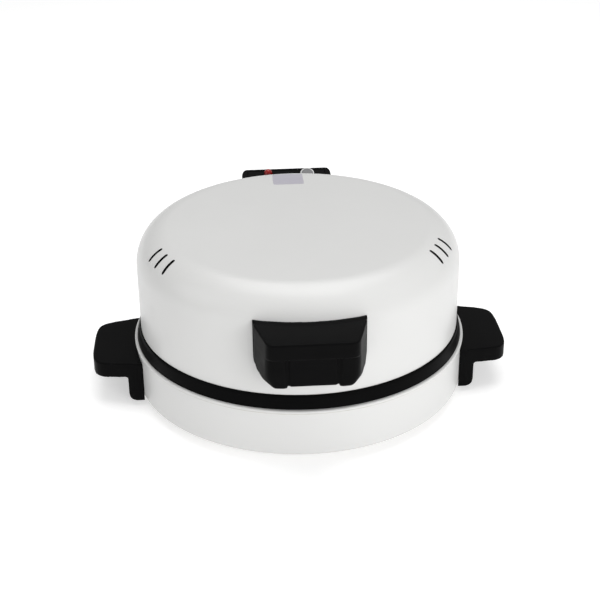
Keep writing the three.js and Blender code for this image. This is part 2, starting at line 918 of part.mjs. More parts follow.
function controlHousing() {
  const inside = lidRadius - shoulderWidth / 2;
  const rear = reach;
  const section = rounded([
    [inside, housingLow, 0],
    [rear, housingLow, housingLowEdge],
    [rear, housingTop, housingTopEdge],
    [inside, slopeZ(inside), 0],
  ]);
  const plan = rounded([
    [-housingHalf, inside, 0],
    [housingHalf, inside, 0],
    [housingHalf, rear, housingCorner],
    [-housingHalf, rear, housingCorner],
  ]);
  const view = rounded([
    [-housingHalf, housingLow, housingLowCorner],
    [housingHalf, housingLow, housingLowCorner],
    [housingHalf, housingTop + seat, housingTopCorner],
    [-housingHalf, housingTop + seat, housingTopCorner],
  ]);
  const hollow = prismX(
    [
      [lidRadius + housingWall, housingLow + housingWall],
      [rear - housingWall, housingLow + housingWall],
      [rear - housingWall, slopeZ(rear - housingWall) - topWall],
      [lidRadius + housingWall, slopeZ(lidRadius + housingWall) - topWall],
    ],
    -housingHalf + housingWall,
    housingHalf - housingWall,
  );
  let made = prismX(section, -housingHalf, housingHalf)
    .intersect(solid(prismZ(plan, housingLow - overrun, housingTop + overrun)))
    .intersect(prismY(view, inside - overrun, rear + overrun))
    .subtract(hollow)
    .subtract(
      block(
        [-openHalf, rear - housingWall - overrun, openLow],
        [openHalf, rear + overrun, openHigh],
      ),
    );
  for (const [x, z] of coverScrewPlaces) {
    const inner = x - Math.sign(x) * (bossWidth / 2);
    const outer = Math.sign(x) * (housingHalf - housingWall / 2);
    made = made.add(
      block(
        [Math.min(inner, outer), rear - housingWall - bossDepth, z - bossWidth / 2],
        [Math.max(inner, outer), rear - housingWall - seat, z + bossWidth / 2],
      ),
    );
  }
  for (const side of [-1, 1]) {
    const lug = new THREE.Shape();
    lug.moveTo(pivotBack - lugRadius, pivotHeight);
    lug.absarc(pivotBack, pivotHeight, lugRadius, Math.PI, Math.PI * 2, false);
    lug.lineTo(pivotBack + lugRadius, housingLow + housingWall);
    lug.lineTo(pivotBack - lugRadius, housingLow + housingWall);
    made = made.add(prismX(lug, side * lugMiddle - lugHalf, side * lugMiddle + lugHalf));
    const x = side * elementGap;
    made = made
      .subtract(elementBore(x, inside, lidRadius + 2 * overrun))
      .add(housingBoss(side));
  }
  made = made
    .subtract(domeCutter(wallGap))
    .subtract(pinBar(pinHalf, pinRadius + pinGap));
  for (const side of [-1, 1]) {
    const start = headSeat(lidRadius - sheet, housingScrewSide);
    made = made.subtract(
      shankHole(
        [side * housingScrewSide, inside, housingScrewHeight],
        [side * housingScrewSide, start + housingScrewBite + seat, housingScrewHeight],
      ),
    );
  }
  for (const [x, z] of coverScrewPlaces) {
    made = made.subtract(shankHole([x, rear - housingWall - coverScrewLength, z], [x, rear, z]));
  }
  return made.subtract(panelCutter());
}

const housingBoss = (side) =>
  block(
    [side * housingScrewSide - bossWidth / 2, lidRadius - overrun * 3, housingScrewHeight - bossWidth / 2],
    [
      side * housingScrewSide + bossWidth / 2,
      lidRadius + housingWall + overrun,
      housingScrewHeight + bossWidth / 2,
    ],
  );

const coverScrewPlaces = [-1, 1].flatMap((side) => [
  [side * coverScrewSide, openLow + coverScrewInset],
  [side * coverScrewSide, openHigh - coverScrewInset],
]);

function controlCover() {
  const half = openHalf - seat;
  let made = block(
    [-half, reach - housingWall, openLow + seat],
    [half, reach, openHigh - seat],
  );
  for (const [x, z] of coverScrewPlaces) {
    made = made.subtract(shankHole([x, reach - housingWall - overrun, z], [x, reach + overrun, z]));
    made = made.subtract(
      bar(
        [x, reach - screwHeadHeight / 2, z],
        [x, reach + overrun, z],
        screwHeadRadius + 2 * seat,
        screwSides,
      ),
    );
  }
  return made;
}

// The sloping panel's own frame: its origin is at the housing's top back edge, +Y runs up the slope
// and +Z stands out of it.
const panelFrame = new THREE.Group();
panelFrame.position.set(0, reach, housingTop);
panelFrame.rotation.x = slope;
panelFrame.updateMatrixWorld(true);

const panelSideMargin = 2;
const panelWidth = 2 * (openHalf - panelSideMargin);
const panelLow = -42;
const panelHigh = -5.5;
const panelRecess = 1.5;
const panelSheetShare = 0.6;
const panelSheet = panelRecess * panelSheetShare;
const panelFace = -panelRecess + seat + panelSheet;
const thermostatHalf = 12;
const thermostatClear = 5; // between the thermostat and the cover's screw boss
const lampClear = 20; // between the lamp's axis and the cover's screw boss
const lampDown = 12;
const knobDown = 21;
const bossInner = coverScrewSide - bossWidth / 2;
const lampPlace = [lampClear - bossInner, -lampDown];
const knobPlace = [bossInner - thermostatClear - thermostatHalf, -knobDown];
const lampHole = 4.8;
const knobHole = 4.4;

const inPanelFrame = (made) => solid(surface(made).applyMatrix4(panelFrame.matrixWorld));

// The recess that the panel plate lies in, with the holes under it.
function panelCutter() {
  const half = panelWidth / 2;
  const recess = block([-half, panelLow, -panelRecess], [half, panelHigh, overrun * 2]);
  const [lampX, lampY] = lampPlace;
  const [knobX, knobY] = knobPlace;
  return inPanelFrame(
    recess
      .add(bar([lampX, lampY, -housingWall * 2], [lampX, lampY, 0], lampHole))
      .add(bar([knobX, knobY, -housingWall * 2], [knobX, knobY, 0], knobHole)),
  );
}

function controlPanel() {
  const half = panelWidth / 2 - seat;
  const [lampX, lampY] = lampPlace;
  const [knobX, knobY] = knobPlace;
  return block([-half, panelLow + seat, -panelRecess + seat], [half, panelHigh - seat, panelFace])
    .subtract(bar([lampX, lampY, -panelRecess * 2], [lampX, lampY, overrun], lampHole, roundSides))
    .subtract(bar([knobX, knobY, -panelRecess * 2], [knobX, knobY, overrun], knobHole, roundSides));
}

// Pilot lamp: a domed red lens in a ring, and its holder under the panel

const lensRadius = 6;
const lensHeight = 8.4;
const lensCollar = 1.6;
const lensDomeShares = [
  [0.88, 0.6],
  [0.55, 0.92],
];
const lampFace = panelFace + seat;
const lampStem = 4;
const lampStemReach = 1.5;
const lampStemLow = -panelBacking - lampStemReach;
const lampBodyLow = -7.6;

function lampLens() {
  return turned(
    [
      [0, lampStemLow],
      [lampStem, lampStemLow],
      [lampStem, lampFace],
      [lensRadius, lampFace],
      [lensRadius, lampFace + lensCollar],
      ...lensDomeShares.map(([out, up]) => [lensRadius * out, lensHeight * up]),
      [0, lensHeight],
    ],
    roundSides,
  );
}

const lampHolder = () => bar([0, 0, lampBodyLow], [0, 0, lampStemLow - seat], lampStem);

// Thermostat: a boxed switch under the panel, its shaft, and the knob with its bright cap

const knobRadius = 13;
const knobTopRadius = 10.2;
const knobHeight = 9;
const knobFoot = 1.2;
const knobSides = 24;
const knobBore = 3;
const knobRim = 2;
const knobStep = 1.2;
const knobSocket = 2.2;
const capRadius = 9.8;
const capHeight = 1.2;
const capRing = 1.8;
const capEdge = 0.6;
const capSunk = 0.5;
const shaftRadius = 2.6;
const shaftLow = -7.4;
const flankDepth = 0.9;
const flanks = 12;
const flankSides = 6;
const thermostatHigh = -panelBacking - seat;
const thermostatHeight = 13;
const thermostatFront = 15;
const thermostatBack = 3.5;
const thermostatLow = thermostatHigh - thermostatHeight;
const neckRadius = knobHole - seat;

function thermostatKnob() {
  let made = turned(
    [
      [knobBore, knobFoot],
      [knobRadius, knobFoot],
      [knobRadius, knobFoot + knobRim],
      [knobTopRadius + knobStep, knobFoot + knobRim + knobStep],
      [knobTopRadius, knobHeight],
      [0, knobHeight],
      [0, knobHeight - knobSocket],
      [knobBore, knobHeight - knobSocket],
    ],
    knobSides,
  );
  for (let i = 0; i < flanks; i++) {
    const notch = new THREE.CylinderGeometry(flankDepth, flankDepth, knobHeight, flankSides)
      .rotateX(Math.PI / 2)
      .translate(knobTopRadius + flankDepth, 0, knobHeight)
      .rotateZ(((i + 0.5) / flanks) * Math.PI * 2);
    made = made.subtract(solid(notch));
  }
  return made;
}

function knobCap() {
  const low = knobHeight + seat;
  return turned(
    [
      [0, low],
      [capRadius - capEdge, low],
      [capRadius, low + capEdge],
      [capRadius - capEdge, low + capHeight],
      [capRadius - capRing, low + capHeight],
      [capRadius - capRing - capSunk, low + capHeight - capSunk],
      [0, low + capHeight - capSunk],
    ],
    knobSides,
  );
}

const knobShaft = () => bar([0, 0, shaftLow], [0, 0, knobHeight - knobSocket - seat], shaftRadius);

function thermostatBody() {
  const front = [-thermostatHalf, -thermostatFront, thermostatLow];
  return block(front, [thermostatHalf, thermostatBack, thermostatHigh])
    .add(bar([0, 0, thermostatHigh - shaftRadius], [0, 0, knobFoot - 2 * seat], neckRadius, roundSides))
    .subtract(bar([0, 0, shaftLow - seat], [0, 0, overrun], shaftRadius + seat));
}

// Base assembly

// Each screw that holds a piece to the lid: where its shank enters the wall, and which way it runs.
const frontSeat = -headSeat(lidRadius - sheet, hoodScrewSide);
const backSeat = headSeat(lidRadius - sheet, housingScrewSide);
const screwSlack = overrun * 3;
const lidScrewHoles = [-1, 1].flatMap((side) => [
  [side * hoodScrewSide, frontSeat + seat, hoodScrewHeight, -screwSlack],
  [side * housingScrewSide, backSeat - seat, housingScrewHeight, screwSlack],
]);

// The base shell's holes for the screws of the handles and of the hinge bracket.
function drilledBaseShell() {
  const inner = baseInner - screwSlack;
  let made = baseShell();
  for (const end of [-1, 1]) {
    for (const side of [-1, 1]) {
      made = made.subtract(
        shankHole(
          [end * inner, side * handleScrewSide, handleScrewHeight],
          [end * (baseRadius + overrun), side * handleScrewSide, handleScrewHeight],
        ),
      );
    }
    made = made.subtract(
      shankHole(
        [end * bracketScrewSide, inner, bracketScrewHeight],
        [end * bracketScrewSide, baseRadius + overrun, bracketScrewHeight],
      ),
    );
  }
  return made.subtract(
    bar([0, inner, bushHeight], [0, baseRadius + overrun, bushHeight], bushBore + bushEdge, roundSides),
  );
}

const corners = [
  ["front_left", -1, -1],
  ["front_right", 1, -1],
  ["rear_left", -1, 1],
  ["rear_right", 1, 1],
];
const footOffset = footCircle / Math.SQRT2;

let plate = bottomPlate();
for (const [name, x, y] of corners) {
  const place = [x * footOffset, y * footOffset];
  const shownFoot = piece("foot_" + name, foot(), rubber);
  shownFoot.position.set(...place, 0);
  base.add(shownFoot);
  base.add(
    screw("foot_screw_" + name, [...place, footTop - footWeb - seat], [0, 0, 1], footScrewLength),
  );
  plate = plate.subtract(shankHole([...place, plateLow - overrun], [...place, plateHigh + overrun]));
}
base.add(piece("bottom_plate", plate, dullSteel));
base.add(piece("base_shell", drilledBaseShell(), whitePaint));

base.add(piece("lower_reflector", lowerReflector(), dullSteel));
const lowerElement = elementTube(lowerElementHeight, elementEnd, elementRadius);
base.add(piece("lower_element", lowerElement, elementSheath));
clipAngles.forEach((degrees, i) => {
  const floor = dishLow + linerSheet + seat;
  base.add(elementClip("lower_element_clip_" + (i + 1), degrees, floor, lowerElementHeight));
});

base.add(piece("baking_pan", bakingPan(), panCoating));
base.add(piece("pan_stud", panStud(), brightSteel));
base.add(piece("pan_stud_nut", studNut(), brightSteel));

for (const [name, turn] of [["right", 0], ["left", Math.PI]]) {
  const holder = new THREE.Group();
  holder.rotation.z = turn;
  holder.add(piece("side_handle_" + name, sideHandle(), bakelite));
  const start = headSeat(baseInner, handleScrewSide);
  for (const [end, side] of [["a", -1], ["b", 1]]) {
    holder.add(
      screw(
        "side_handle_screw_" + name + "_" + end,
        [start, side * handleScrewSide, handleScrewHeight],
        [1, 0, 0],
        baseInner + handleScrewBite - start - 2 * seat,
      ),
    );
  }
  base.add(holder);
}

base.add(piece("hinge_bracket", hingeBracket(), bakelite));
base.add(piece("hinge_pin", hingePin(), brightSteel));
for (const [name, side] of [["left", -1], ["right", 1]]) {
  const start = headSeat(baseInner, bracketScrewSide);
  base.add(
    screw(
      "hinge_bracket_screw_" + name,
      [side * bracketScrewSide, start, bracketScrewHeight],
      [0, 1, 0],
      baseInner + bracketScrewBite - start - seat,
    ),
  );
}
const bush = piece("cord_bush", cordBush(), rubber);
bush.position.set(0, bracketBack, bushHeight);
bush.rotation.x = -Math.PI / 2;
base.add(bush);
const terminals = piece("terminal_block", terminalBlock(), ceramic);
terminals.position.y = terminalBack;
base.add(terminals);

// Lid assembly

lid.add(piece("lid_shell", lidShell(), whitePaint));
lid.add(piece("lid_liner", lidLiner(), dullSteel));
const upperEnds = lidRadius + overrun - Math.sqrt(elementCircle ** 2 - elementGap ** 2);
lid.add(piece("upper_element", elementTube(upperElementHeight, upperEnds, elementRadius), elementSheath));
clipAngles.forEach((degrees, i) => {
  const roof = linerTop - linerSheet - seat;
  lid.add(elementClip("upper_element_clip_" + (i + 1), degrees, roof, upperElementHeight));
});
lid.add(piece("front_handle", frontHandle(), bakelite));
for (const [name, side] of [["left", -1], ["right", 1]]) {
  lid.add(
    screw(
      "front_handle_screw_" + name,
      [side * hoodScrewSide, frontSeat, hoodScrewHeight],
      [0, -1, 0],
      hoodScrewBite - seat,
    ),
  );
  lid.add(
    screw(
      "control_housing_screw_" + name,
      [side * housingScrewSide, backSeat, housingScrewHeight],
      [0, 1, 0],
      housingScrewBite - seat,
    ),
  );
}
lid.add(piece("control_housing", controlHousing(), bakelite));
lid.add(piece("control_cover", controlCover(), bakelite));
coverScrewPlaces.forEach(([x, z], i) => {
  lid.add(
    screw(
      "control_cover_screw_" + (i + 1),
      [x, reach + coverScrewProud - screwHeadHeight, z],
      [0, -1, 0],
      coverScrewLength - 2 * seat,
    ),
  );
});

panelFrame.add(piece("control_panel", controlPanel(), bakelite));
const lamp = new THREE.Group();
lamp.position.set(...lampPlace, 0);
lamp.add(piece("pilot_lamp_lens", lampLens(), redLens));
lamp.add(piece("pilot_lamp_holder", lampHolder(), ceramic));
panelFrame.add(lamp);
const knob = new THREE.Group();
knob.position.set(...knobPlace, 0);
knob.add(piece("thermostat_knob", thermostatKnob(), bakelite));
knob.add(piece("knob_cap", knobCap(), brightSteel));
knob.add(piece("thermostat_shaft", knobShaft(), brightSteel));
knob.add(piece("thermostat", thermostatBody(), ceramic));
panelFrame.add(knob);
lid.add(panelFrame);

const pizzaMaker = new THREE.Group();
pizzaMaker.add(base);
pizzaMaker.add(lid);

export default pizzaMaker;
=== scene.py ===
# %% [markdown]
# # A countertop pizza maker
# A round steel base holds a black baking pan, and a domed steel lid closes over it. The solids come packed
# from the CAD step as a fixed frame. This lesson dresses them: each cell builds one piece or one finish
# with Blender's own tools, in metres, where the frame says that it is.

import json
import math

import bmesh
import bpy
import numpy as np
from mathutils import Matrix, Vector


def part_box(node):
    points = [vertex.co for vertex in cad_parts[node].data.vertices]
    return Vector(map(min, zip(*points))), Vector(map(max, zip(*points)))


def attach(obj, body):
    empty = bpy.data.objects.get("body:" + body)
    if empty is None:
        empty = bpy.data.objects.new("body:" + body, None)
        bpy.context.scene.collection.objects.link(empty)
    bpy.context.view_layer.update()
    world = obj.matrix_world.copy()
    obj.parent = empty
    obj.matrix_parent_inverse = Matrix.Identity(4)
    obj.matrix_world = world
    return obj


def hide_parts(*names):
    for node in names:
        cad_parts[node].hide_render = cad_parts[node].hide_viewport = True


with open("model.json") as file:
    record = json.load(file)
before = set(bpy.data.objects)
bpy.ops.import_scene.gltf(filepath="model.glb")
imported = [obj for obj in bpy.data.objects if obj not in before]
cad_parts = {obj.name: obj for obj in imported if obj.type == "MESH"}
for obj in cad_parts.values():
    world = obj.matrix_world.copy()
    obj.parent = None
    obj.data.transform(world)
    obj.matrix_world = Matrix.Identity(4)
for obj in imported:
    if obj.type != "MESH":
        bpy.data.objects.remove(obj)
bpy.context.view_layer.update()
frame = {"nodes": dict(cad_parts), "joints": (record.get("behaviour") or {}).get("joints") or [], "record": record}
scene = bpy.context.scene
MM = 0.001

# %% [markdown]
# ## The camera
# The photograph looks down at the machine from the front, a little from its left. The rims of lid and base
# are circles, so the shape of their ellipses gives the height, the distance and the lens, and a point on
# the lid's axis gives the small shift of the frame. The camera's rotation is built from the line of sight,
# then rolled by the 0.6 of a degree that the photograph leans.

# %% Place the camera
SIGHT_HEIGHT = math.radians(27.01)
SIGHT_TURN = math.radians(-3.7)
SIGHT_ROLL = -0.0107
SIGHT_DISTANCE = 1600 * MM
FRAME_PIXELS = 600
LENS_PIXELS = 1261.44
AIM = Vector((0, 0, 110 * MM))
AIM_PIXEL = (298.45, 298.50)


def new_object(name, data=None):
    """A new object in the scene, with an empty mesh if it isn't given other data."""
    made = bpy.data.objects.new(name, data or bpy.data.meshes.new(name))
    scene.collection.objects.link(made)
    return made


def z_along(direction):
    """The rotation that turns Z to a direction."""
    return Vector(direction).to_track_quat("Z", "Y").to_matrix().to_4x4()


camera_data = bpy.data.cameras.new("camera")
camera_data.sensor_width = 36
camera_data.lens = LENS_PIXELS / FRAME_PIXELS * camera_data.sensor_width
camera_data.shift_x = (FRAME_PIXELS / 2 - AIM_PIXEL[0]) / FRAME_PIXELS
camera_data.shift_y = (AIM_PIXEL[1] - FRAME_PIXELS / 2) / FRAME_PIXELS
camera_data.clip_end = 50
camera = new_object("camera", camera_data)
outward = Vector(
    (
        math.sin(SIGHT_TURN) * math.cos(SIGHT_HEIGHT),
        -math.cos(SIGHT_TURN) * math.cos(SIGHT_HEIGHT),
        math.sin(SIGHT_HEIGHT),
    )
)
roll = Matrix.Rotation(SIGHT_ROLL, 4, "Z")
camera.matrix_world = Matrix.Translation(AIM + outward * SIGHT_DISTANCE) @ z_along(outward) @ roll
scene.camera = camera
print("lens", round(camera_data.lens, 1), "mm, camera at", [round(v, 3) for v in camera.location])

# %% [markdown]
# ## Light and floor
# The photograph has a white studio: a broad light from the front right, a weaker one from the left, one
# from above and a white ground. Area lights are soft in proportion to their size, so each is a metre or
# more wide. The world fills what they leave, and stays dim so that the black mouldings don't turn grey with
# its reflection. Seen from behind, the lid's flat top would mirror the front light and burn out, so that
# light is kept out of reflections, as a polarising filter does.

# %% Light the studio
LIT_POINT = Vector((0, 0, 0.1))


def softbox(name, place, width, height, watts):
    """A rectangular light at a place, in metres, that faces the machine."""
    data = bpy.data.lights.new(name, "AREA")
    data.shape = "RECTANGLE"
    data.size, data.size_y, data.energy = width, height, watts
    made = new_object(name, data)
    made.matrix_world = Matrix.Translation(place) @ z_along(Vector(place) - LIT_POINT)
    return made


key_light = softbox("light_right", (1.1, -2.4, 0.98), 1.5, 1.3, 40)
key_light.visible_glossy = False
softbox("light_left", (-2.5, -0.5, 1.1), 1.4, 1.4, 8)
softbox("light_top", (0.1, 0.4, 2.6), 2.2, 2.2, 44)
scene.view_settings.view_transform = "Standard"

world = bpy.data.worlds.new("studio")
scene.world = world
world.use_nodes = True
sky = world.node_tree.nodes["Background"].inputs
sky["Color"].default_value = (1, 1, 1, 1)
sky["Strength"].default_value = 0.40

# %% [markdown]
# ## Writing node trees as expressions
# A material and a Geometry Nodes tree are both graphs. A graph is easier to read as a formula, so one small
# class stands for a node's output, and Python's operators on it add Math nodes. Every other node comes
# from `add`, which takes the node's type, its settings, and the values or links of its sockets.

# %% A class for the sockets
def operator(operation, reflected=False):
    """A method for a sign between two values. Its reflected form has the two swapped."""
    if reflected:
        return lambda self, other: self.math(operation, other, self)
    return lambda self, other: self.math(operation, self, other)


def function(operation):
    """A method that takes one value."""
    return lambda self: self.math(operation, self)


class Value:
    """One output of a node. Sums, products and comparisons of it add Math nodes to its tree."""

    def __init__(self, tree, socket):
        self.tree, self.socket = tree, socket

    def math(self, operation, first, second=0.0):
        return add(self.tree, "ShaderNodeMath", {"operation": operation}, {0: first, 1: second})

    __add__, __radd__ = operator("ADD"), operator("ADD", reflected=True)
    __sub__, __rsub__ = operator("SUBTRACT"), operator("SUBTRACT", reflected=True)
    __mul__, __rmul__ = operator("MULTIPLY"), operator("MULTIPLY", reflected=True)
    __truediv__, __mod__ = operator("DIVIDE"), operator("FLOORED_MODULO")
    __lt__, __gt__ = operator("LESS_THAN"), operator("GREATER_THAN")
    __abs__, floor = function("ABSOLUTE"), function("FLOOR")
    sin, cos = function("SINE"), function("COSINE")

    def between(self, low, high):
        """0 below low, 1 above high, and a smooth ramp between them."""
        settings = {"interpolation_type": "SMOOTHSTEP"}
        inputs = {"Value": self, "From Min": low, "From Max": high}
        return add(self.tree, "ShaderNodeMapRange", settings, inputs)


def add(tree, kind, settings=None, inputs=None, output=0):
    """Adds one node: its settings first, then the values or links of its sockets."""
    made = tree.nodes.new(kind)
    for name, value in (settings or {}).items():
        setattr(made, name, value)
    for name, value in (inputs or {}).items():
        if isinstance(value, Value):
            tree.links.new(value.socket, made.inputs[name])
        else:
            made.inputs[name].default_value = value
    return Value(tree, made.outputs[output])


print("a value has", sum(callable(made) for made in vars(Value).values()), "operators and methods")

# %% [markdown]
# ## A material and what every finish needs
# Each finish starts as a Principled shader. Numbers that are the same all over go straight on its sockets.
# What changes over the surface, such as a smudge, is a noise read at the object's own coordinates, so it
# has a real size in metres and stays put on every piece.

# %% Start a finish
class Finish:
    """A material with one Principled shader, and short names for the patterns that the finishes share."""

    def __init__(self, name, **fixed):
        self.material = bpy.data.materials.new(name)
        self.material.use_nodes = True
        self.tree = self.material.node_tree
        self.shader = self.tree.nodes["Principled BSDF"]
        for socket, value in fixed.items():
            self.shader.inputs[socket.replace("_", " ")].default_value = value
        self.place = add(self.tree, "ShaderNodeTexCoord", output="Object")

    def set(self, socket, value):
        self.tree.links.new(value.socket, self.shader.inputs[socket])

    def noise(self, scale, detail=2.0, stretch=None, at=None, roughness=0.5):
        where = at or self.place
        if stretch:
            inputs = {"Vector": where, "Scale": stretch}
            where = add(self.tree, "ShaderNodeMapping", {}, inputs)
        inputs = {"Vector": where, "Scale": scale, "Detail": detail, "Roughness": roughness}
        return add(self.tree, "ShaderNodeTexNoise", {}, inputs)

    def axis(self, name):
        return add(self.tree, "ShaderNodeSeparateXYZ", {}, {0: self.place}, name)

    def radius(self):
        kind = "ShaderNodeVectorMath"
        flat = add(self.tree, kind, {"operation": "MULTIPLY"}, {0: self.place, 1: (1, 1, 0)})
        return add(self.tree, kind, {"operation": "LENGTH"}, {0: flat}, "Value")

    def blend(self, share, first, second):
        first, second = (c if isinstance(c, Value) else (*c, 1) for c in (first, second))
        settings = {"data_type": "RGBA"}
        return add(self.tree, "ShaderNodeMix", settings, {0: share, 6: first, 7: second}, 2)

    def bump(self, height, depth):
        inputs = {"Height": height, "Distance": depth, "Strength": 1.0}
        self.set("Normal", add(self.tree, "ShaderNodeBump", {}, inputs))

    def done(self):
        """The finished material."""
        print(self.material.name, "has", len(self.tree.nodes), "nodes")
        return self.material


print("a finish has", len(Finish("sample").shader.inputs), "sockets to choose from")
bpy.data.materials.remove(bpy.data.materials["sample"])

# %% [markdown]
# ## White stove enamel
# The lid and base are steel, sprayed with a white enamel that is baked hard in a stove. It is glossy but not
# flat: it has a shallow orange-peel ripple a few millimetres long, and fingers leave duller patches. Shade is
# painted into the colour by height where the lid meets the pan, where the lip meets the wall and at the foot
# of the wall: a darker beige-grey line, uneven like dust, where the enamel is also a little rougher.

# %% Mix the enamel
# Each seam's height, the reach of the painted shade along it, and how dark it is
SHADED_SEAMS = [
    (88.9 * MM, 1.1 * MM, 0.45),
    (68.1 * MM, 1.4 * MM, 0.95),
    (12.0 * MM, 2.5 * MM, 0.45),
]


def enamel():
    made = Finish("white_enamel", Coat_Weight=0.2, Coat_Roughness=0.22, Specular_IOR_Level=0.4)
    patches = made.noise(7.0, 3)
    smudges = made.noise(42.0, 5).between(0.5, 0.72)
    height = made.axis("Z")
    # Painted shade along each seam, uneven like dust, which also makes the enamel a little rougher there
    seam_shade_lines = [(1 - (abs(height - seam) / reach).between(0.3, 1.0)) * dark for seam, reach, dark in SHADED_SEAMS]
    seam_shade = sum(seam_shade_lines) * (0.6 + 0.4 * made.noise(90.0, 3).between(0.35, 0.75))
    clean = made.blend(patches, (0.60, 0.60, 0.592), (0.63, 0.63, 0.622))
    made.set("Base Color", made.blend(seam_shade, clean, (0.42, 0.40, 0.36)))
    made.set("Roughness", 0.32 + patches * 0.10 + smudges * 0.08 + seam_shade * 0.2)
    peel = made.noise(330.0) * 0.8 + made.noise(1500.0) * 0.2
    made.bump(peel, 0.06 * MM)
    return made.done()


white_enamel = enamel()

# %% [markdown]
# ## Painted shade in the vent slots
# The thin walls of the punched vent slots are painted near-black: painted shade, so that the slots read
# as dark openings. It is dull, and only slightly uneven.

# %% Mix the ground coat
def mix_slot_shade():
    made = Finish("slot_shade", Specular_IOR_Level=0.1)
    cloud = made.noise(60.0, 3)
    # Painted shade for the slots' walls: near-black and dull
    made.set("Base Color", made.blend(cloud, (0.006, 0.006, 0.007), (0.014, 0.014, 0.015)))
    made.set("Roughness", 0.55 + made.noise(300.0) * 0.1)
    return made.done()


slot_shade = mix_slot_shade()

# %% [markdown]
# ## Black moulded bakelite
# The grips, the control box and the knob are pressed from black resin. It has a satin skin that fine flow
# marks break up, and hands polish it unevenly. Pale rub marks gather in thin streaks.

# %% Mix the bakelite
def bakelite():
    made = Finish("black_bakelite", Specular_IOR_Level=0.025)
    flow = made.noise(28.0, 4, stretch=(1, 1, 3))
    rubs = made.noise(120.0, 6, stretch=(1, 4, 4), roughness=0.7).between(0.62, 0.8)
    grain = made.noise(1400.0)
    dark = made.blend(flow, (0.0025, 0.0025, 0.0026), (0.0045, 0.0045, 0.0046))
    made.set("Base Color", made.blend(rubs * 0.25, dark, (0.018, 0.0175, 0.017)))
    made.set("Roughness", 0.30 + flow * 0.14 + rubs * 0.12 + grain * 0.04)
    made.bump(grain * 0.5 + flow * 0.5, 0.03 * MM)
    return made.done()


black_bakelite = bakelite()

# %% [markdown]
# ## The pan's coating
# The pan is steel with a black non-stick coating. The coating is fine grained, a little glossier on the
# rolled band outside than on the dish, where turning and cutting leave faint curved marks. The dish is
# also painted a little lighter in hazy patches: painted sheen.

# %% Mix the pan's coating
DISH_EDGE = (176 * MM, 184 * MM)


def coating():
    made = Finish("pan_coating", Specular_IOR_Level=0.02)
    dish = 1 - made.radius().between(*DISH_EDGE)
    fleck = made.noise(2200.0).between(0.55, 0.75)
    marks = made.noise(160.0, 5, stretch=(1, 7, 1), roughness=0.75).between(0.6, 0.7)
    haze = made.noise(14.0, 4)
    dark = made.blend(haze, (0.002, 0.002, 0.0021), (0.004, 0.004, 0.0041))
    # Painted sheen: the dish is lighter in hazy patches
    dish_sheen = made.blend(dish * (0.4 + haze * 0.6), dark, (0.016, 0.0155, 0.015))
    worn = made.blend(marks * dish * 0.5, dish_sheen, (0.04, 0.038, 0.034))
    made.set("Base Color", made.blend(fleck * 0.15, worn, (0.02, 0.02, 0.02)))
    made.set("Roughness", 0.30 + haze * 0.1 + dish * 0.12 + marks * dish * 0.1)
    made.bump(made.noise(900.0, 3) * 0.6 + fleck * 0.4, 0.02 * MM)
    return made.done()


pan_coating = coating()

# %% [markdown]
# ## Bare metals
# Three metals are mixed here, and the knob's cap gets its own later. The rolled aluminised sheet has a noise
# stretched along the rolling for its grain, and a stain where the heat reaches it. The plating of screws and
# pins is clouded and lightly spotted. The heating tube oxidises to a blotched brown grey.

# %% Mix the metals
ELEMENT_RADIUS = 128 * MM
STAIN_REACH = 34 * MM


def aluminised():
    made = Finish("aluminised_sheet", Specular_IOR_Level=0.5)
    grain = made.noise(60.0, 6, stretch=(1, 16, 4), roughness=0.7)
    spangle = made.noise(210.0)
    near = 1 - (abs(made.radius() - ELEMENT_RADIUS) / STAIN_REACH).between(0.0, 1.0)
    heat = near * made.noise(18.0, 4).between(0.3, 0.75)
    metal = made.blend(grain, (0.52, 0.52, 0.51), (0.68, 0.68, 0.67))
    made.set("Base Color", made.blend(heat * 0.55, metal, (0.46, 0.36, 0.22)))
    made.set("Metallic", 1 - heat * 0.15)
    made.set("Roughness", 0.26 + grain * 0.14 + spangle * 0.06 + heat * 0.12)
    made.bump(grain, 0.02 * MM)
    return made.done()


def plated():
    made = Finish("plated_steel", Metallic=1.0)
    cloud = made.noise(240.0, 4)
    spots = made.noise(900.0, 3).between(0.62, 0.75)
    bright = made.blend(cloud, (0.60, 0.60, 0.59), (0.70, 0.70, 0.69))
    made.set("Base Color", made.blend(spots * 0.5, bright, (0.30, 0.27, 0.22)))
    made.set("Roughness", 0.18 + cloud * 0.12 + spots * 0.25)
    made.bump(made.noise(1600.0), 0.01 * MM)
    return made.done()


def heated():
    made = Finish("heated_tube", Metallic=0.75)
    blotch = made.noise(70.0, 5, roughness=0.65)
    fine = made.noise(800.0, 3)
    dark = made.blend(blotch.between(0.35, 0.65), (0.085, 0.075, 0.062), (0.17, 0.16, 0.13))
    made.set("Base Color", dark)
    made.set("Roughness", 0.42 + blotch * 0.18 + fine * 0.08)
    made.bump(fine, 0.02 * MM)
    return made.done()


aluminised_sheet, plated_steel, heated_tube = aluminised(), plated(), heated()

# %% [markdown]
# ## Ceramic and rubber
# The thermostat, the terminal block and the lamp's holder are unglazed ceramic: dull and faintly speckled.
# The feet and the cord's bush are rubber, with a dusty bloom.

# %% Mix the ceramic and the rubber
def speckled(name, first, second, speck, roughness, scale, depth):
    """A dull finish whose colour drifts between two, with specks of a third."""
    made = Finish(name, Specular_IOR_Level=0.3)
    cloud = made.noise(scale, 4)
    dots = made.noise(scale * 12).between(0.62, 0.72)
    made.set("Base Color", made.blend(dots * 0.5, made.blend(cloud, first, second), speck))
    made.set("Roughness", roughness + cloud * 0.15)
    made.bump(cloud * 0.4 + dots * 0.6, depth)
    return made.done()


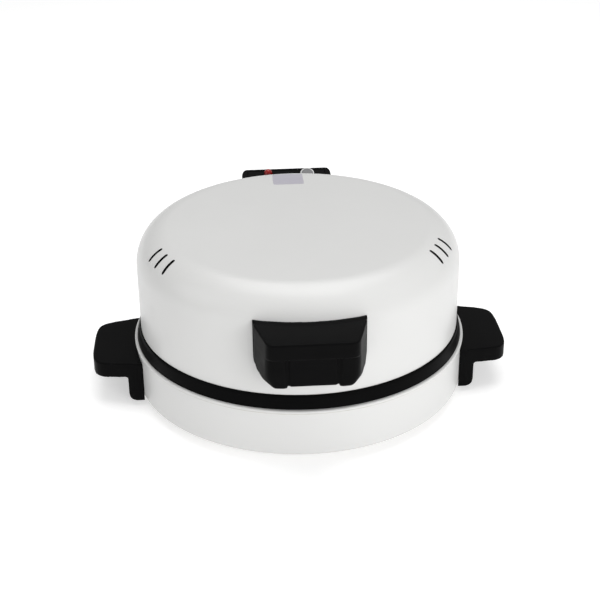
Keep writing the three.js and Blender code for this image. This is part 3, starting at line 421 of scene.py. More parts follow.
cream, pale_cream, brown = (0.62, 0.57, 0.46), (0.74, 0.70, 0.60), (0.35, 0.30, 0.22)
ceramic = speckled("ceramic", cream, pale_cream, brown, 0.6, 90.0, 0.06 * MM)
black, soot, bloom = (0.012, 0.012, 0.012), (0.024, 0.023, 0.022), (0.07, 0.065, 0.06)
rubber = speckled("rubber", black, soot, bloom, 0.7, 80.0, 0.05 * MM)

# %% [markdown]
# ## Turning a round piece
# The shells, the pan, the knob and the feet are all round, as a lathe or a press makes them. `soften` rounds
# the corners of an outline, each by its own radius, and `turned` sweeps it about an axis. An outline that
# starts and ends on the axis gives a solid with a single point at each pole, and any other is closed to a
# ring.

# %% Round an outline and sweep it
MERGE = 0.001 * MM


def soften(corners, steps=6):
    """Points of an outline whose corners (x, y, radius) are rounded. The ends stay as they are if sharp."""
    points = []
    for i, (x, y, *given) in enumerate(corners):
        here = np.array((x, y), float)
        radius = given[0] if given else 0.0
        if not radius:
            points.append(here)
            continue
        before = np.array(corners[i - 1][:2], float) - here
        after = np.array(corners[(i + 1) % len(corners)][:2], float) - here
        before, after = before / np.linalg.norm(before), after / np.linalg.norm(after)
        half = math.acos(np.clip(before @ after, -1, 1)) / 2
        middle = here + (before + after) / np.linalg.norm(before + after) * radius / math.sin(half)
        start, end = (here + way * radius / math.tan(half) - middle for way in (before, after))
        sweep = math.atan2(start[0] * end[1] - start[1] * end[0], start @ end)
        for k in range(steps + 1):
            a = sweep * k / steps
            points.append(middle + (math.cos(a) * start[0] - math.sin(a) * start[1],
                                    math.sin(a) * start[0] + math.cos(a) * start[1]))
    return points


def smooth_up_to(mesh, degrees):
    """Shades a mesh smooth, with its edges sharp past an angle."""
    mesh.shade_smooth()
    mesh.set_sharp_from_angle(angle=math.radians(degrees))


def object_of(name, bm, material=None, smooth=30):
    """A finished object from a bmesh: doubles merged, faces outward, and smooth up to an angle."""
    bmesh.ops.remove_doubles(bm, verts=bm.verts, dist=MERGE)
    bmesh.ops.recalc_face_normals(bm, faces=bm.faces)
    made = new_object(name)
    bm.to_mesh(made.data)
    bm.free()
    smooth_up_to(made.data, smooth)
    if material:
        made.data.materials.append(material)
    return made


def turned(name, outline, material=None, steps=192, place=Matrix.Identity(4)):
    """Sweeps an outline of (radius, height) in millimetres about the Z axis of a place."""
    bm = bmesh.new()
    rings = []
    for radius, height in outline:
        if not radius:
            rings.append([bm.verts.new((0, 0, height * MM))] * steps)
            continue
        ring = []
        for k in range(steps):
            a = 2 * math.pi * k / steps
            ring.append(bm.verts.new((radius * math.cos(a) * MM, radius * math.sin(a) * MM, height * MM)))
        rings.append(ring)
    pairs = list(zip(rings, rings[1:]))
    if outline[0][0]:
        pairs.append((rings[-1], rings[0]))
    for low, high in pairs:
        for k in range(steps):
            corners = dict.fromkeys([low[k - 1], low[k], high[k], high[k - 1]])
            if len(corners) > 2:
                bm.faces.new(corners)
    bmesh.ops.transform(bm, matrix=place, verts=bm.verts)
    return object_of(name, bm, material)


def dress(piece, body, *stands_for, finish=None):
    """Rides a piece on its body and hides the CAD nodes that it stands for. Its finish is not used."""
    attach(piece, body)
    if stands_for:
        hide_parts(*stands_for)
    print(f"{piece.name} on the {body}: {len(piece.data.polygons)} faces")
    return piece


print("a softened square has", len(soften([(0, 0, 1), (9, 0, 1), (9, 9, 1), (0, 9, 1)])), "points")

# %% [markdown]
# ## The base shell
# The base is a steel drum. Its wall turns in under the machine to a flange, with a soft edge where it stands
# over the table, and rolls out at the top to a bead that the pan's band sits on. One outline, swept
# round, gives all of it with the sheet's real thickness.

# %% Turn the base shell
SHEET = 0.9
BASE_WALL, FLANGE = 207.0, 183.0
LIP_IN, LIP_OUT, LIP_TURN = 202.1, 208.7, 3.4


def box_mm(node):
    """The low and high corners of a CAD node's box, in millimetres."""
    return [[v / MM for v in corner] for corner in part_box(node)]


(_, _, drum_low), (_, _, lip_high) = box_mm("base_shell")
outside = [
    (FLANGE, drum_low), (BASE_WALL, drum_low, 4.6), (BASE_WALL, lip_high - LIP_TURN - 1, 1.2),
    (LIP_OUT, lip_high - LIP_TURN, 0.8), (LIP_OUT, lip_high, 1.7), (LIP_IN, lip_high),
]
inside = [
    (LIP_IN, lip_high - SHEET), (LIP_OUT - SHEET, lip_high - SHEET, 0.9),
    (BASE_WALL - SHEET, lip_high - LIP_TURN - 0.8, 1.4), (BASE_WALL - SHEET, drum_low + SHEET, 3.4),
    (FLANGE, drum_low + SHEET),
]
drum = turned("base_drum", soften(outside + inside), white_enamel)
dress(drum, "base", "base_shell", finish="white_paint")

# %% [markdown]
# ## The baking pan
# The black band between base and lid is the pan's own rim: it flares down over the base's lip and turns over
# at the top into the dish. The turn at the top is rounded, which gives the band its soft highlight.

# %% Turn the pan
PAN_WALL, BAND_LIFT = 1.7, 0.3
DISH_FLOOR, DISH_RIM, BAND_TOP = 182.0, 196.2, 201.4
(_, _, floor_low), (band_foot, _, rim_high) = box_mm("baking_pan")
band_low, floor_high, under_rim = lip_high + BAND_LIFT, floor_low + PAN_WALL, rim_high - PAN_WALL
underside = [
    (0, floor_low), (DISH_FLOOR + 0.4, floor_low, 6), (DISH_RIM + 0.8, under_rim - 0.8, 1.2),
    (DISH_RIM + 3, under_rim - 0.4, 1), (band_foot - PAN_WALL, band_low),
]
upper_side = [
    (band_foot, band_low, 0.8), (BAND_TOP + 1, rim_high - 1.6, 9), (BAND_TOP, rim_high, 1.8),
    (DISH_RIM, rim_high, 2.2), (DISH_FLOOR, floor_high + 0.6, 9), (DISH_FLOOR - 6, floor_high, 3),
    (0, floor_high),
]
pan = turned("pan_dish", soften(underside + upper_side, steps=8), pan_coating)
dress(pan, "base", "baking_pan", finish="pan_coating")

# %% [markdown]
# ## A Geometry Nodes tree from the script
# What repeats, such as the vent slots or the screws, is placed by a rule, so it is made with Geometry Nodes.
# `Repeat` starts such a tree with named inputs for its sizes. `applied` sets them by each socket's
# identifier, takes the evaluated result as a plain mesh, and removes the modifier, because the export needs
# real faces.

# %% Start a tree and apply it
class Repeat:
    """A Geometry Nodes tree whose inputs are named sizes."""

    def __init__(self, name, sizes):
        self.tree = bpy.data.node_groups.new(name, "GeometryNodeTree")
        sockets = self.tree.interface
        sockets.new_socket("Geometry", in_out="INPUT", socket_type="NodeSocketGeometry")
        sockets.new_socket("Geometry", in_out="OUTPUT", socket_type="NodeSocketGeometry")
        self.given = {}
        for size, value in sizes.items():
            kind = {int: "Int", float: "Float"}.get(type(value), "Object")
            made = sockets.new_socket(size, in_out="INPUT", socket_type="NodeSocket" + kind)
            self.given[made.identifier] = value
        self.entry = self.tree.nodes.new("NodeGroupInput")

    def size(self, name):
        return Value(self.tree, self.entry.outputs[name])

    def add(self, kind, settings=None, inputs=None, output=0):
        return add(self.tree, "GeometryNode" + kind, settings, inputs, output)

    def vector(self, x, y, z):
        return add(self.tree, "ShaderNodeCombineXYZ", {}, {0: x, 1: y, 2: z})

    def shape(self, name):
        """The geometry of the object that a named input holds."""
        return self.add("ObjectInfo", {}, {"Object": self.size(name)}, "Geometry")

    def copies(self, points, shape, turn):
        """A shape on each point, turned about X, Y and Z by three angles."""
        inputs = {"Points": points, "Instance": shape, "Rotation": self.vector(*turn)}
        return self.add("InstanceOnPoints", {}, inputs)

    def without(self, tools):
        """The piece that the tree is on, with the tools cut out of it."""
        settings = {"operation": "DIFFERENCE", "solver": "EXACT"}
        return self.add("MeshBoolean", settings, {0: self.size("Geometry"), 1: tools})

    def end(self, geometry, material):
        """The tree's last nodes: copies made real, with a material."""
        real = self.add("RealizeInstances", {}, {0: geometry})
        coloured = self.add("SetMaterial", {}, {"Geometry": real, "Material": material})
        leave = self.tree.nodes.new("NodeGroupOutput")
        self.tree.links.new(coloured.socket, leave.inputs[0])
        self.material = material
        return self


def settle(made):
    """Turns a piece's modifiers into its mesh."""
    bpy.context.view_layer.update()
    seen = made.evaluated_get(bpy.context.evaluated_depsgraph_get())
    made.data = bpy.data.meshes.new_from_object(seen)
    made.modifiers.clear()
    return made


def applied(repeat, start, smooth):
    """Puts a tree on an object and turns what it gives into the object's plain mesh."""
    modifier = start.modifiers.new(repeat.tree.name, "NODES")
    modifier.node_group = repeat.tree
    for identifier, value in repeat.given.items():
        modifier[identifier] = value
    mesh = settle(start).data
    mesh.materials.clear()
    mesh.materials.append(repeat.material)
    mesh.polygons.foreach_set("material_index", [0] * len(mesh.polygons))
    smooth_up_to(mesh, smooth)
    return start


def hidden_tool(made):
    """Takes a shape that only cuts or is copied out of the scene. A tree can still use it."""
    scene.collection.objects.unlink(made)
    return made


print("trees so far:", len(bpy.data.node_groups))

# %% [markdown]
# ## The lid shell
# The lid is one drawn dome: a straight wall, a shoulder that is a quarter of an ellipse, and a top that
# crowns by two or three millimetres. Its outline is written as that rule. Three slots are punched through
# each front shoulder to let steam out, fanned along the lid's radii.

# %% Turn the dome
LID_RADIUS, CROWN = 200.0, 2.5
SHOULDER_WIDTH, SHOULDER_DROP = 42.0, 44.0
HEM, WALL = 9.0, 14.0
SHOULDER_STEPS, CROWN_STEPS = 26, 16
(_, _, rim), (_, _, lid_top) = box_mm("lid_shell")
top_edge = lid_top - CROWN
flat_radius = LID_RADIUS - SHOULDER_WIDTH


def dome(inset):
    """The lid's outline from its wall to its pole, set in by a distance."""
    points = [(LID_RADIUS - inset, rim + WALL)]
    for i in range(SHOULDER_STEPS + 1):
        a = math.pi / 2 * i / SHOULDER_STEPS
        r = flat_radius + (SHOULDER_WIDTH - inset) * math.cos(a)
        points.append((r, top_edge - SHOULDER_DROP + (SHOULDER_DROP - inset) * math.sin(a)))
    for i in range(1, CROWN_STEPS + 1):
        r = flat_radius * (1 - i / CROWN_STEPS)
        points.append((r, top_edge - inset + CROWN * (1 - (r / flat_radius) ** 2)))
    return points


lid_inside = LID_RADIUS - SHEET
hem = [(lid_inside, rim + HEM), (lid_inside, rim, 0.3), (LID_RADIUS, rim, 0.4), (LID_RADIUS, rim + HEM)]
lid_shell = turned("lid_dome", dome(SHEET)[::-1] + soften(hem, 4) + dome(0))
print("dome before its slots:", len(lid_shell.data.polygons), "faces")

# %% [markdown]
# The slots are cut by a Geometry Nodes tree: six points, three to a side, are set round the lid by their
# number, a round-ended punch is placed on each and turned to the lid's radius, and a mesh boolean takes
# them all away. The slots' walls are the only upright faces inside the lid's own wall, so a test of each
# face's normal and radius finds them, and they take a near-black colour: painted shade in the slots.

# %% Punch the vent slots
SLOT_IN, SLOT_OUT, SLOT_WIDTH = 173.5, 191.3, 4.6
SLOT_MIDDLE, SLOT_STEP = math.radians(24.5), math.radians(6)
PUNCH_HEIGHT, STADIUM_STEPS = 60.0, 8
UPRIGHT, SLOT_MARGIN = 0.02, 1.0


def stadium(name, length, width, height):
    """A round-ended bar along X, as far above the XY plane as below it."""
    half = []
    for k in range(STADIUM_STEPS + 1):
        a = math.pi * (k / STADIUM_STEPS - 0.5)
        x = (length - width) / 2 + width / 2 * math.cos(a)
        half.append((x * MM, width / 2 * math.sin(a) * MM))
    outline = half + [(-x, -y) for x, y in half]
    bm = bmesh.new()
    low, high = ([bm.verts.new((*p, z * MM)) for p in outline] for z in (-height / 2, height / 2))
    bm.faces.new(low)
    bm.faces.new(high)
    for k in range(len(low)):
        bm.faces.new([low[k - 1], low[k], high[k], high[k - 1]])
    return object_of(name, bm)


punch = hidden_tool(stadium("punch", SLOT_OUT - SLOT_IN, SLOT_WIDTH, PUNCH_HEIGHT))
vents = Repeat(
    "vent_slots",
    {
        "Punch": punch,
        "Slots a side": 3,
        "Distance": (SLOT_IN + SLOT_OUT) / 2 * MM,
        "Height": top_edge * MM,
        "Middle": SLOT_MIDDLE,
        "Step": SLOT_STEP,
    },
)
number = vents.add("InputIndex")
side = (number / vents.size("Slots a side")).floor() * 2 - 1
row = number % vents.size("Slots a side") - 1
angle = side * (math.pi / 2 - vents.size("Middle") + row * vents.size("Step")) - math.pi / 2
distance = vents.size("Distance")
spot = vents.vector(distance * angle.cos(), distance * angle.sin(), vents.size("Height"))
six = vents.add("Points", {}, {"Count": vents.size("Slots a side") * 2, "Position": spot})
punches = vents.copies(six, vents.shape("Punch"), (0.0, 0.0, angle))
cut = vents.without(vents.add("RealizeInstances", {}, {0: punches}))
applied(vents.end(cut, white_enamel), lid_shell, 28)
# The slots' walls take the near-black painted shade
lid_shell.data.materials.append(slot_shade)
punched = [
    face
    for face in lid_shell.data.polygons
    if abs(face.normal.z) < UPRIGHT and face.center.xy.length < (SLOT_OUT + SLOT_MARGIN) * MM
]
for face in punched:
    face.material_index = 1
dress(lid_shell, "lid", "lid_shell", finish="white_paint")
print("faces in the slots' walls:", len(punched))

# %% [markdown]
# ## The liner inside the lid
# With the lid open, a bright pressed dish shows inside it. It throws the upper element's heat down onto the
# pizza. A shallow ring is pressed into its roof to stiffen it.

# %% Turn the liner
LINER_SHEET, LINER_RADIUS, LINER_ROUND = 0.7, 184.0, 25.0
RING_IN, RING_OUT, RING_SLOPE, RING_DEPTH, RING_ROUND = 58.0, 76.0, 4.0, 2.0, 3.0
(_, _, flange_low), (flange_out, _, roof) = box_mm("lid_liner")


def pressed_ring(level, grow):
    """The section of the pressed ring on one face of the sheet, wider by a little on the inner face."""
    foot_in, foot_out = RING_IN + RING_SLOPE - grow / 2, RING_OUT - RING_SLOPE + grow / 2
    edges = [(RING_IN - grow, 0), (foot_in, RING_DEPTH), (foot_out, RING_DEPTH), (RING_OUT + grow, 0)]
    return [(radius, level - drop, RING_ROUND) for radius, drop in edges]


flange_high, ceiling = flange_low + LINER_SHEET, roof - LINER_SHEET
inner_radius = LINER_RADIUS - LINER_SHEET
above = [(0, roof), *pressed_ring(roof, 0), (LINER_RADIUS, roof, LINER_ROUND)]
flange = [
    (LINER_RADIUS, flange_high, 1.2), (flange_out, flange_high), (flange_out, flange_low),
    (inner_radius, flange_low, 1.6),
]
below = [(inner_radius, ceiling, LINER_ROUND - 0.6), *pressed_ring(ceiling, 0.4)[::-1], (0, ceiling)]
liner = turned("lid_reflector", soften(above + flange + below, 8), aluminised_sheet, steps=160)
dress(liner, "lid", "lid_liner", finish="aluminised_steel")

# %% [markdown]
# ## The heating elements
# Each element is a steel tube bent into a ring that stays open at the back, where its ends run out to their
# terminals. The path is a curve with an arc, two bends and two straights, and a Geometry Nodes tree sweeps
# a round section along it.

# %% Sweep the elements
TUBE, GAP, BEND, END_INSET = 3.3, 15.0, 11.0, 0.2
BEND_STEPS, RING_STEPS, TUBE_SIDES = 6, 120, 20
HEATERS = {"upper": "lid", "lower": "base"}


def element_path(back, height):
    """Points of the element's middle line, in metres, from its one end at the back to the other."""
    ring = ELEMENT_RADIUS / MM

    def on_ring(turn):
        return ring * np.array((math.cos(turn), math.sin(turn)))

    gap_turn, bend_turn = math.asin(GAP / ring), BEND / ring
    first = math.pi / 2 + gap_turn
    corner, bent = on_ring(first), on_ring(first + bend_turn)
    run_in = [np.array((-GAP, back))]
    for t in np.linspace(0, 1, BEND_STEPS + 1):
        run_in.append((1 - t) ** 2 * (corner + (0, BEND)) + 2 * t * (1 - t) * corner + t * t * bent)
    sweep = 2 * (math.pi - gap_turn - bend_turn)
    arc = [on_ring(first + bend_turn + sweep * k / RING_STEPS) for k in range(1, RING_STEPS)]
    run_out = [point * (-1, 1) for point in reversed(run_in)]
    return [Vector((*point, height)) * MM for point in run_in + arc + run_out]


def middle_height(node):
    (_, _, low), (_, _, high) = box_mm(node)
    return (low + high) / 2


def element(name, node):
    """A heating tube whose height and ends are those of a CAD node."""
    curve = bpy.data.curves.new(name, "CURVE")
    curve.dimensions = "3D"
    spline = curve.splines.new("POLY")
    path = element_path(box_mm(node)[1][1] - END_INSET, middle_height(node))
    spline.points.add(len(path) - 1)
    for point, place in zip(spline.points, path):
        point.co = (*place, 1)
    line = bpy.data.objects.new(name + "_path", curve)
    sweep = Repeat(name, {"Path": line, "Radius": TUBE * MM})
    inputs = {"Resolution": TUBE_SIDES, "Radius": sweep.size("Radius")}
    section = sweep.add("CurvePrimitiveCircle", {}, inputs)
    inputs = {"Curve": sweep.shape("Path"), "Profile Curve": section, "Fill Caps": True}
    tube = sweep.add("CurveToMesh", {}, inputs)
    return applied(sweep.end(tube, heated_tube), new_object(name), 40)


for level, body in HEATERS.items():
    tube = element(level + "_heater", level + "_element")
    dress(tube, body, level + "_element", finish="element_sheath")

# %% [markdown]
# ## The clips that carry the elements
# Three straps carry each element. A strap is a narrow strip of sheet, bent out at the end that is welded on
# and hooked round the tube at the other. One strap is built as a swept strip, and a tree sets a copy of it
# at each of the three angles.

# %% Bend a strap and set three
STRAP_WIDTH, STRAP = 9.0, 0.9
# The welded foot: how far back from the strap's leg, and how far from the wall, each point of it is
STRAP_FOOT = [(8.5, 0), (1.5, 0), (0.4, 0.5), (0, 1.35)]
HOOK_PLAY, HOOK_TURN, HOOK_STEPS = 0.5, 1.12 * math.pi, 10
LIP_OUT, LIP_DROP = 1.6, 4.6


def strap(name, wall, middle):
    """A hook in the XZ plane, from a wall's height to round the tube, whose middle has its own height."""
    way = 1 if middle > wall else -1
    hook = TUBE + HOOK_PLAY + STRAP / 2
    ring = ELEMENT_RADIUS / MM
    line = [(ring - hook - back, wall + way * (STRAP / 2 + rise)) for back, rise in STRAP_FOOT]
    for k in range(HOOK_STEPS + 1):
        a = math.pi - HOOK_TURN * k / HOOK_STEPS
        line.append((ring + hook * math.cos(a), middle + way * hook * math.sin(a)))
    line.append((ring + hook + LIP_OUT, middle - way * LIP_DROP))
    bm = bmesh.new()
    rows = []
    for i, (x, z) in enumerate(line):
        x0, z0 = line[max(i - 1, 0)]
        x1, z1 = line[min(i + 1, len(line) - 1)]
        share = STRAP / 2 / math.hypot(x1 - x0, z1 - z0)
        nx, nz = -(z1 - z0) * share, (x1 - x0) * share
        corners = [(x + nx, -1, z + nz), (x + nx, 1, z + nz), (x - nx, 1, z - nz), (x - nx, -1, z - nz)]
        rows.append([bm.verts.new((p * MM, s * STRAP_WIDTH / 2 * MM, q * MM)) for p, s, q in corners])
    for one, two in zip(rows, rows[1:]):
        for k in range(4):
            bm.faces.new([one[k - 1], one[k], two[k], two[k - 1]])
    bm.faces.new(rows[0])
    bm.faces.new(rows[-1])
    return hidden_tool(object_of(name, bm))


def straps(name, wall, middle):
    """Copies of a strap round the ring, the first of them at the front."""
    sizes = {"Strap": strap(name + "_one", wall, middle), "Count": 3, "Start": math.radians(-90)}
    ring = Repeat(name, sizes)
    angle = ring.size("Start") + ring.add("InputIndex") * 2 * math.pi / ring.size("Count")
    dots = ring.add("Points", {}, {"Count": ring.size("Count")})
    set_out = ring.copies(dots, ring.shape("Strap"), (0.0, 0.0, angle))
    return applied(ring.end(set_out, aluminised_sheet), new_object(name), 40)


for level, body in HEATERS.items():
    clips = [f"{level}_element_clip_{i}" for i in (1, 2, 3)]
    (_, _, clip_low), (_, _, clip_high) = box_mm(clips[0])
    wall = clip_high if level == "upper" else clip_low
    made = straps(level + "_straps", wall, middle_height(level + "_element"))
    dress(made, body, *clips, finish="aluminised_steel")

# %% [markdown]
# ## Moulded pieces
# The grips, the control box and the hinge bracket are pressed in a mould, so no edge on them is sharp. Their
# solids already have the right planes, steps and pockets. A copy of each solid is merged, turned into fine
# even cells by a voxel remesh, and relaxed a little, which rounds every edge by about a millimetre and
# fills the inside corners, as a mould does.

# %% Soften the moulded solids
MOULD_PASSES = 8


def merged(node):
    """A bmesh of a CAD node, with its loose triangles joined at their corners."""
    bm = bmesh.new()
    bm.from_mesh(frame["nodes"][node].data)
    bmesh.ops.remove_doubles(bm, verts=bm.verts, dist=MERGE)
    return bm


def relaxed(made, passes, group=""):
    """Evens a piece's surface out in a number of passes, by a vertex group's weights if one is named."""
    relax = made.modifiers.new("relax", "SMOOTH")
    relax.iterations, relax.vertex_group = passes, group
    return settle(made)


def moulded(name, node, cell):
    """A softened copy of a CAD node, made of cells of a size in millimetres."""
    made = object_of(name, merged(node))
    remesh = made.modifiers.new("cells", "REMESH")
    remesh.mode, remesh.voxel_size, remesh.use_smooth_shade = "VOXEL", cell * MM, True
    relaxed(made, MOULD_PASSES)
    made.data.shade_smooth()
    made.data.materials.append(black_bakelite)
    return made


mouldings = [
    ("front_grip", "front_handle", "lid", 0.8),
    ("left_grip", "side_handle_left", "base", 0.9),
    ("right_grip", "side_handle_right", "base", 0.9),
    ("control_box", "control_housing", "lid", 0.9),
    ("hinge_mount", "hinge_bracket", "base", 0.9),
]
for name, node, body, cell in mouldings:
    dress(moulded(name, node, cell), body, node, finish="bakelite")

# %% [markdown]
# The front grip's two lower corners are swept round in one broad curve. Its solid only has them cut off, so
# the same relaxing goes on there: each point's weight says how much of every pass it takes, and it fades to
# nothing before it reaches the finger pocket, the wall and the ledge.

# %% Round the front grip's lower corners
# Where each weight starts and where it is full: out from the middle, down to the foot, away from the lid
CORNER_ACROSS, CORNER_ABOVE, CORNER_DEPTH = (26, 38), (30, 14), (-206, -214)
CORNER_PASSES = 160


def fade(values, start, stop):
    """0 at the start and 1 at the stop, with a smooth ramp between them."""
    share = np.clip((values - start) / (stop - start), 0, 1)
    return share * share * (3 - 2 * share)


front_grip = bpy.data.objects["front_grip"]
spots = np.empty(len(front_grip.data.vertices) * 3)
front_grip.data.vertices.foreach_get("co", spots)
across, depth, height = (spots / MM).reshape(-1, 3).T
above = height - box_mm("front_handle")[0][2]
weights = fade(abs(across), *CORNER_ACROSS) * fade(above, *CORNER_ABOVE) * fade(depth, *CORNER_DEPTH)
near = front_grip.vertex_groups.new(name="corners")
for i in np.flatnonzero(weights):
    near.add([int(i)], float(weights[i]), "REPLACE")
relaxed(front_grip, CORNER_PASSES, near.name)
front_grip.vertex_groups.clear()
print("points relaxed at the corners:", int((weights > 0).sum()))

# %% [markdown]
# ## Thin plates
# The control box's back cover and its sloping front plate are flat stampings, too thin for the cells above.
# Their flat faces are joined into whole ones, and a narrow bevel takes the sharpness off every edge.

# %% Bevel the plates
FLAT_ANGLE, EDGE_ANGLE = math.radians(1), math.radians(35)


def bevelled(name, node, width):
    """A copy of a CAD node with its flat faces whole and its edges bevelled by a width in millimetres."""
    bm = merged(node)
    bmesh.ops.dissolve_limit(bm, angle_limit=FLAT_ANGLE, verts=bm.verts, edges=bm.edges)
    made = object_of(name, bm, black_bakelite, 40)
    bevel = made.modifiers.new("bevel", "BEVEL")
    bevel.width, bevel.segments = width * MM, 2
    bevel.limit_method, bevel.angle_limit = "ANGLE", EDGE_ANGLE
    smooth_up_to(settle(made).data, 25)
    return made


dress(bevelled("back_cover", "control_cover", 0.5), "lid", "control_cover", finish="bakelite")
dress(bevelled("front_plate", "control_panel", 0.2), "lid", "control_panel", finish="bakelite")

# %% [markdown]
# ## The knob and its cap
# The knob turns on its own axis, which leans with the panel. The frame's joint gives that axis, so the knob
# and everything on it is turned round it. Narrow flutes are pressed into the flank for the fingers, and a
# bright cap with a raised ring closes the top.

# %% Turn the knob
joint = next(j for j in frame["joints"] if j["name"] == "thermostat_turn")
out_of_panel = -Vector(joint["axis"])
panel = Matrix.Translation(joint["pos_m"]) @ z_along(out_of_panel)
KNOB_RADIUS, KNOB_TOP, KNOB_FOOT, KNOB_HEIGHT = 13.0, 10.2, 1.2, 9.0
SKIRT, ROOF, BORE = 3.2, 2.2, 3.2
FLUTES, FLUTE_DEPTH, FLUTE_START, FLUTE_RISE = 24, 0.55, 9.0, 1.6

skirt_high, under_roof = KNOB_FOOT + SKIRT, KNOB_HEIGHT - ROOF
flank = [
    (BORE, KNOB_FOOT), (KNOB_RADIUS, KNOB_FOOT, 0.4), (KNOB_RADIUS, skirt_high - 1.2, 0.7),
    (KNOB_TOP + 1.3, skirt_high, 1.0), (KNOB_TOP + 0.6, skirt_high + 1.2), (KNOB_TOP + 0.3, under_roof),
    (KNOB_TOP, KNOB_HEIGHT, 0.8), (0, KNOB_HEIGHT), (0, under_roof), (BORE, under_roof),
]
grip = turned("knob_grip", soften(flank, 5), black_bakelite, place=panel)
inward = panel.inverted()
for vertex in grip.data.vertices:
    spot = inward @ vertex.co
    reach = spot.xy.length / MM
    if reach > FLUTE_START:
        share = np.clip((spot.z / MM - skirt_high) / FLUTE_RISE, 0, 1)
        wave = max(0.0, math.cos(math.atan2(spot.y, spot.x) * FLUTES)) ** 2
        spot.xy *= 1 - FLUTE_DEPTH * share * wave / reach
        vertex.co = panel @ spot
dress(grip, "knob", "thermostat_knob", finish="bakelite")
print("the knob's axis:", [round(v, 3) for v in out_of_panel])

# %% [markdown]
# The cap is faced on a lathe, which leaves fine rings. Seen in the knob's own coordinates, the ring that is
# raised round the edge is painted bright and the sunk middle darker, a painted highlight and painted
# shade, and a white line marks the setting.

# %% Face the cap
CAP_RADIUS, CAP_LOW, CAP_HEIGHT, CAP_RING, CAP_SUNK = 9.8, 9.3, 1.2, 1.8, 0.5
LATHE_RINGS = 2600.0
LINE_HALF, LINE_FROM, LINE_TO = 0.55 * MM, 2.4 * MM, 7.4 * MM


def local_finish(name, place, **fixed):
    """A finish whose coordinates are those of a leaning piece: its axis is Z and its middle is 0."""
    made = Finish(name, **fixed)
    inputs = {"Vector": made.place, "Location": place.translation, "Rotation": place.to_euler()}
    made.place = add(made.tree, "ShaderNodeMapping", {"vector_type": "TEXTURE"}, inputs)
    return made


def faced():
    made = local_finish("faced_cap", panel, Metallic=0.9)
    radius = made.radius()
    outward_only = add(made.tree, "ShaderNodeCombineXYZ", {}, {0: radius * LATHE_RINGS})
    rings = made.noise(1.0, 4, at=outward_only)
    ring_inside = CAP_RADIUS - CAP_RING
    middle = 1 - radius.between((ring_inside - CAP_SUNK) * MM, ring_inside * MM)
    x, y = made.axis("X"), made.axis("Y")
    line = (abs(x) < LINE_HALF) * (y < -LINE_FROM) * (y > -LINE_TO)
    # Painted highlight on the raised ring and painted shade in the sunk middle
    metal = made.blend(middle, (0.30, 0.30, 0.30), (0.085, 0.085, 0.087))
    made.set("Base Color", made.blend(line, metal, (0.8, 0.8, 0.78)))
    made.set("Roughness", 0.26 + rings * 0.16 + line * 0.2)
    made.bump(rings, 0.02 * MM)
    return made.done()


cap_top = CAP_LOW + CAP_HEIGHT
cap_outline = [
    (0, CAP_LOW), (CAP_RADIUS - 0.6, CAP_LOW, 0.2), (CAP_RADIUS, CAP_LOW + 0.6, 0.25),
    (CAP_RADIUS - 0.5, cap_top, 0.35), (CAP_RADIUS - CAP_RING, cap_top, 0.25),
    (CAP_RADIUS - CAP_RING - 0.4, cap_top - CAP_SUNK, 0.15), (0, cap_top - CAP_SUNK),
]
cap = turned("knob_face", soften(cap_outline, 4), faced(), steps=128, place=panel)
dress(cap, "knob", "knob_cap", finish="bright_steel")

# %% [markdown]
# ## The pilot lamp
# A red lens stands beside the knob. Its dome is ribbed inside, so that the little lamp under it is seen
# from all sides. The ribs are a bump that runs round the lens, deepest at its flank.

# %% Turn the lens
LENS_FROM_KNOB = (-54.0, 9.0)
LENS_RADIUS, LENS_HEIGHT, COLLAR = 6.0, 8.4, 1.6
LENS_RIBS, RIBS_FROM, RIBS_FULL = 28, 2.0 * MM, 5.0 * MM
DOME_STEPS = 14
lamp_spot = panel @ Matrix.Translation((LENS_FROM_KNOB[0] * MM, LENS_FROM_KNOB[1] * MM, 0))


def lens():
    glossy = {"Specular_IOR_Level": 0.3, "Coat_Weight": 0.25, "Coat_Roughness": 0.06}
    made = local_finish("red_lens", lamp_spot, **glossy)
    y = made.axis("Y")
    wave = (y.math("ARCTAN2", y, made.axis("X")) * LENS_RIBS).cos() * 0.5 + 0.5
    ribs = wave * made.radius().between(RIBS_FROM, RIBS_FULL)
    depth = made.noise(260.0)
    # The red is painted darker along the ribs, more so towards the flank, so the dome's middle stays brightest:
    # painted shade of the ribbed dome
    red = made.blend(ribs * 0.6 + depth * 0.3, (0.33, 0.006, 0.005), (0.085, 0.001, 0.001))
    made.set("Base Color", red)
    made.set("Roughness", 0.12 + depth * 0.08)
    made.bump(ribs, 0.12 * MM)
    return made.done()


lens_outline = [(0, 0)] + soften([(LENS_RADIUS, 0, 0.3), (LENS_RADIUS, COLLAR - 0.3)], 3)
for k in range(DOME_STEPS):
    a = math.pi / 2 * k / DOME_STEPS
    lens_outline.append((LENS_RADIUS * math.cos(a), COLLAR + (LENS_HEIGHT - COLLAR) * math.sin(a)))
lens_outline.append((0, LENS_HEIGHT))
red_lens = lens()
lamp = turned("lamp_lens", lens_outline, red_lens, steps=96, place=lamp_spot)
dress(lamp, "lid", "pilot_lamp_lens", finish="red_lens")

# %% [markdown]
# ## Pin and bush
# The hinge's pin is a plain ground bar with chamfered ends. The rubber bush beside it stands in the
# bracket's back wall, where a supply cord goes in: its flange is rounded and its bore is open.

# %% Turn the pin and the bush
PIN_RADIUS, PIN_CHAMFER = 3.0, 0.8
BUSH_BORE, BUSH_NECK, BUSH_FLANGE, BUSH_PROUD = 3.5, 5.5, 8.0, 3.3


def box_end(node, axis, high=False):
    """The middle of the low or the high end of a CAD node's box along an axis, in metres."""
    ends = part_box(node)
    spot = (ends[0] + ends[1]) / 2
    spot[axis] = ends[int(high)][axis]
    return spot


def box_length(node, axis):
    low, high = box_mm(node)
    return high[axis] - low[axis]


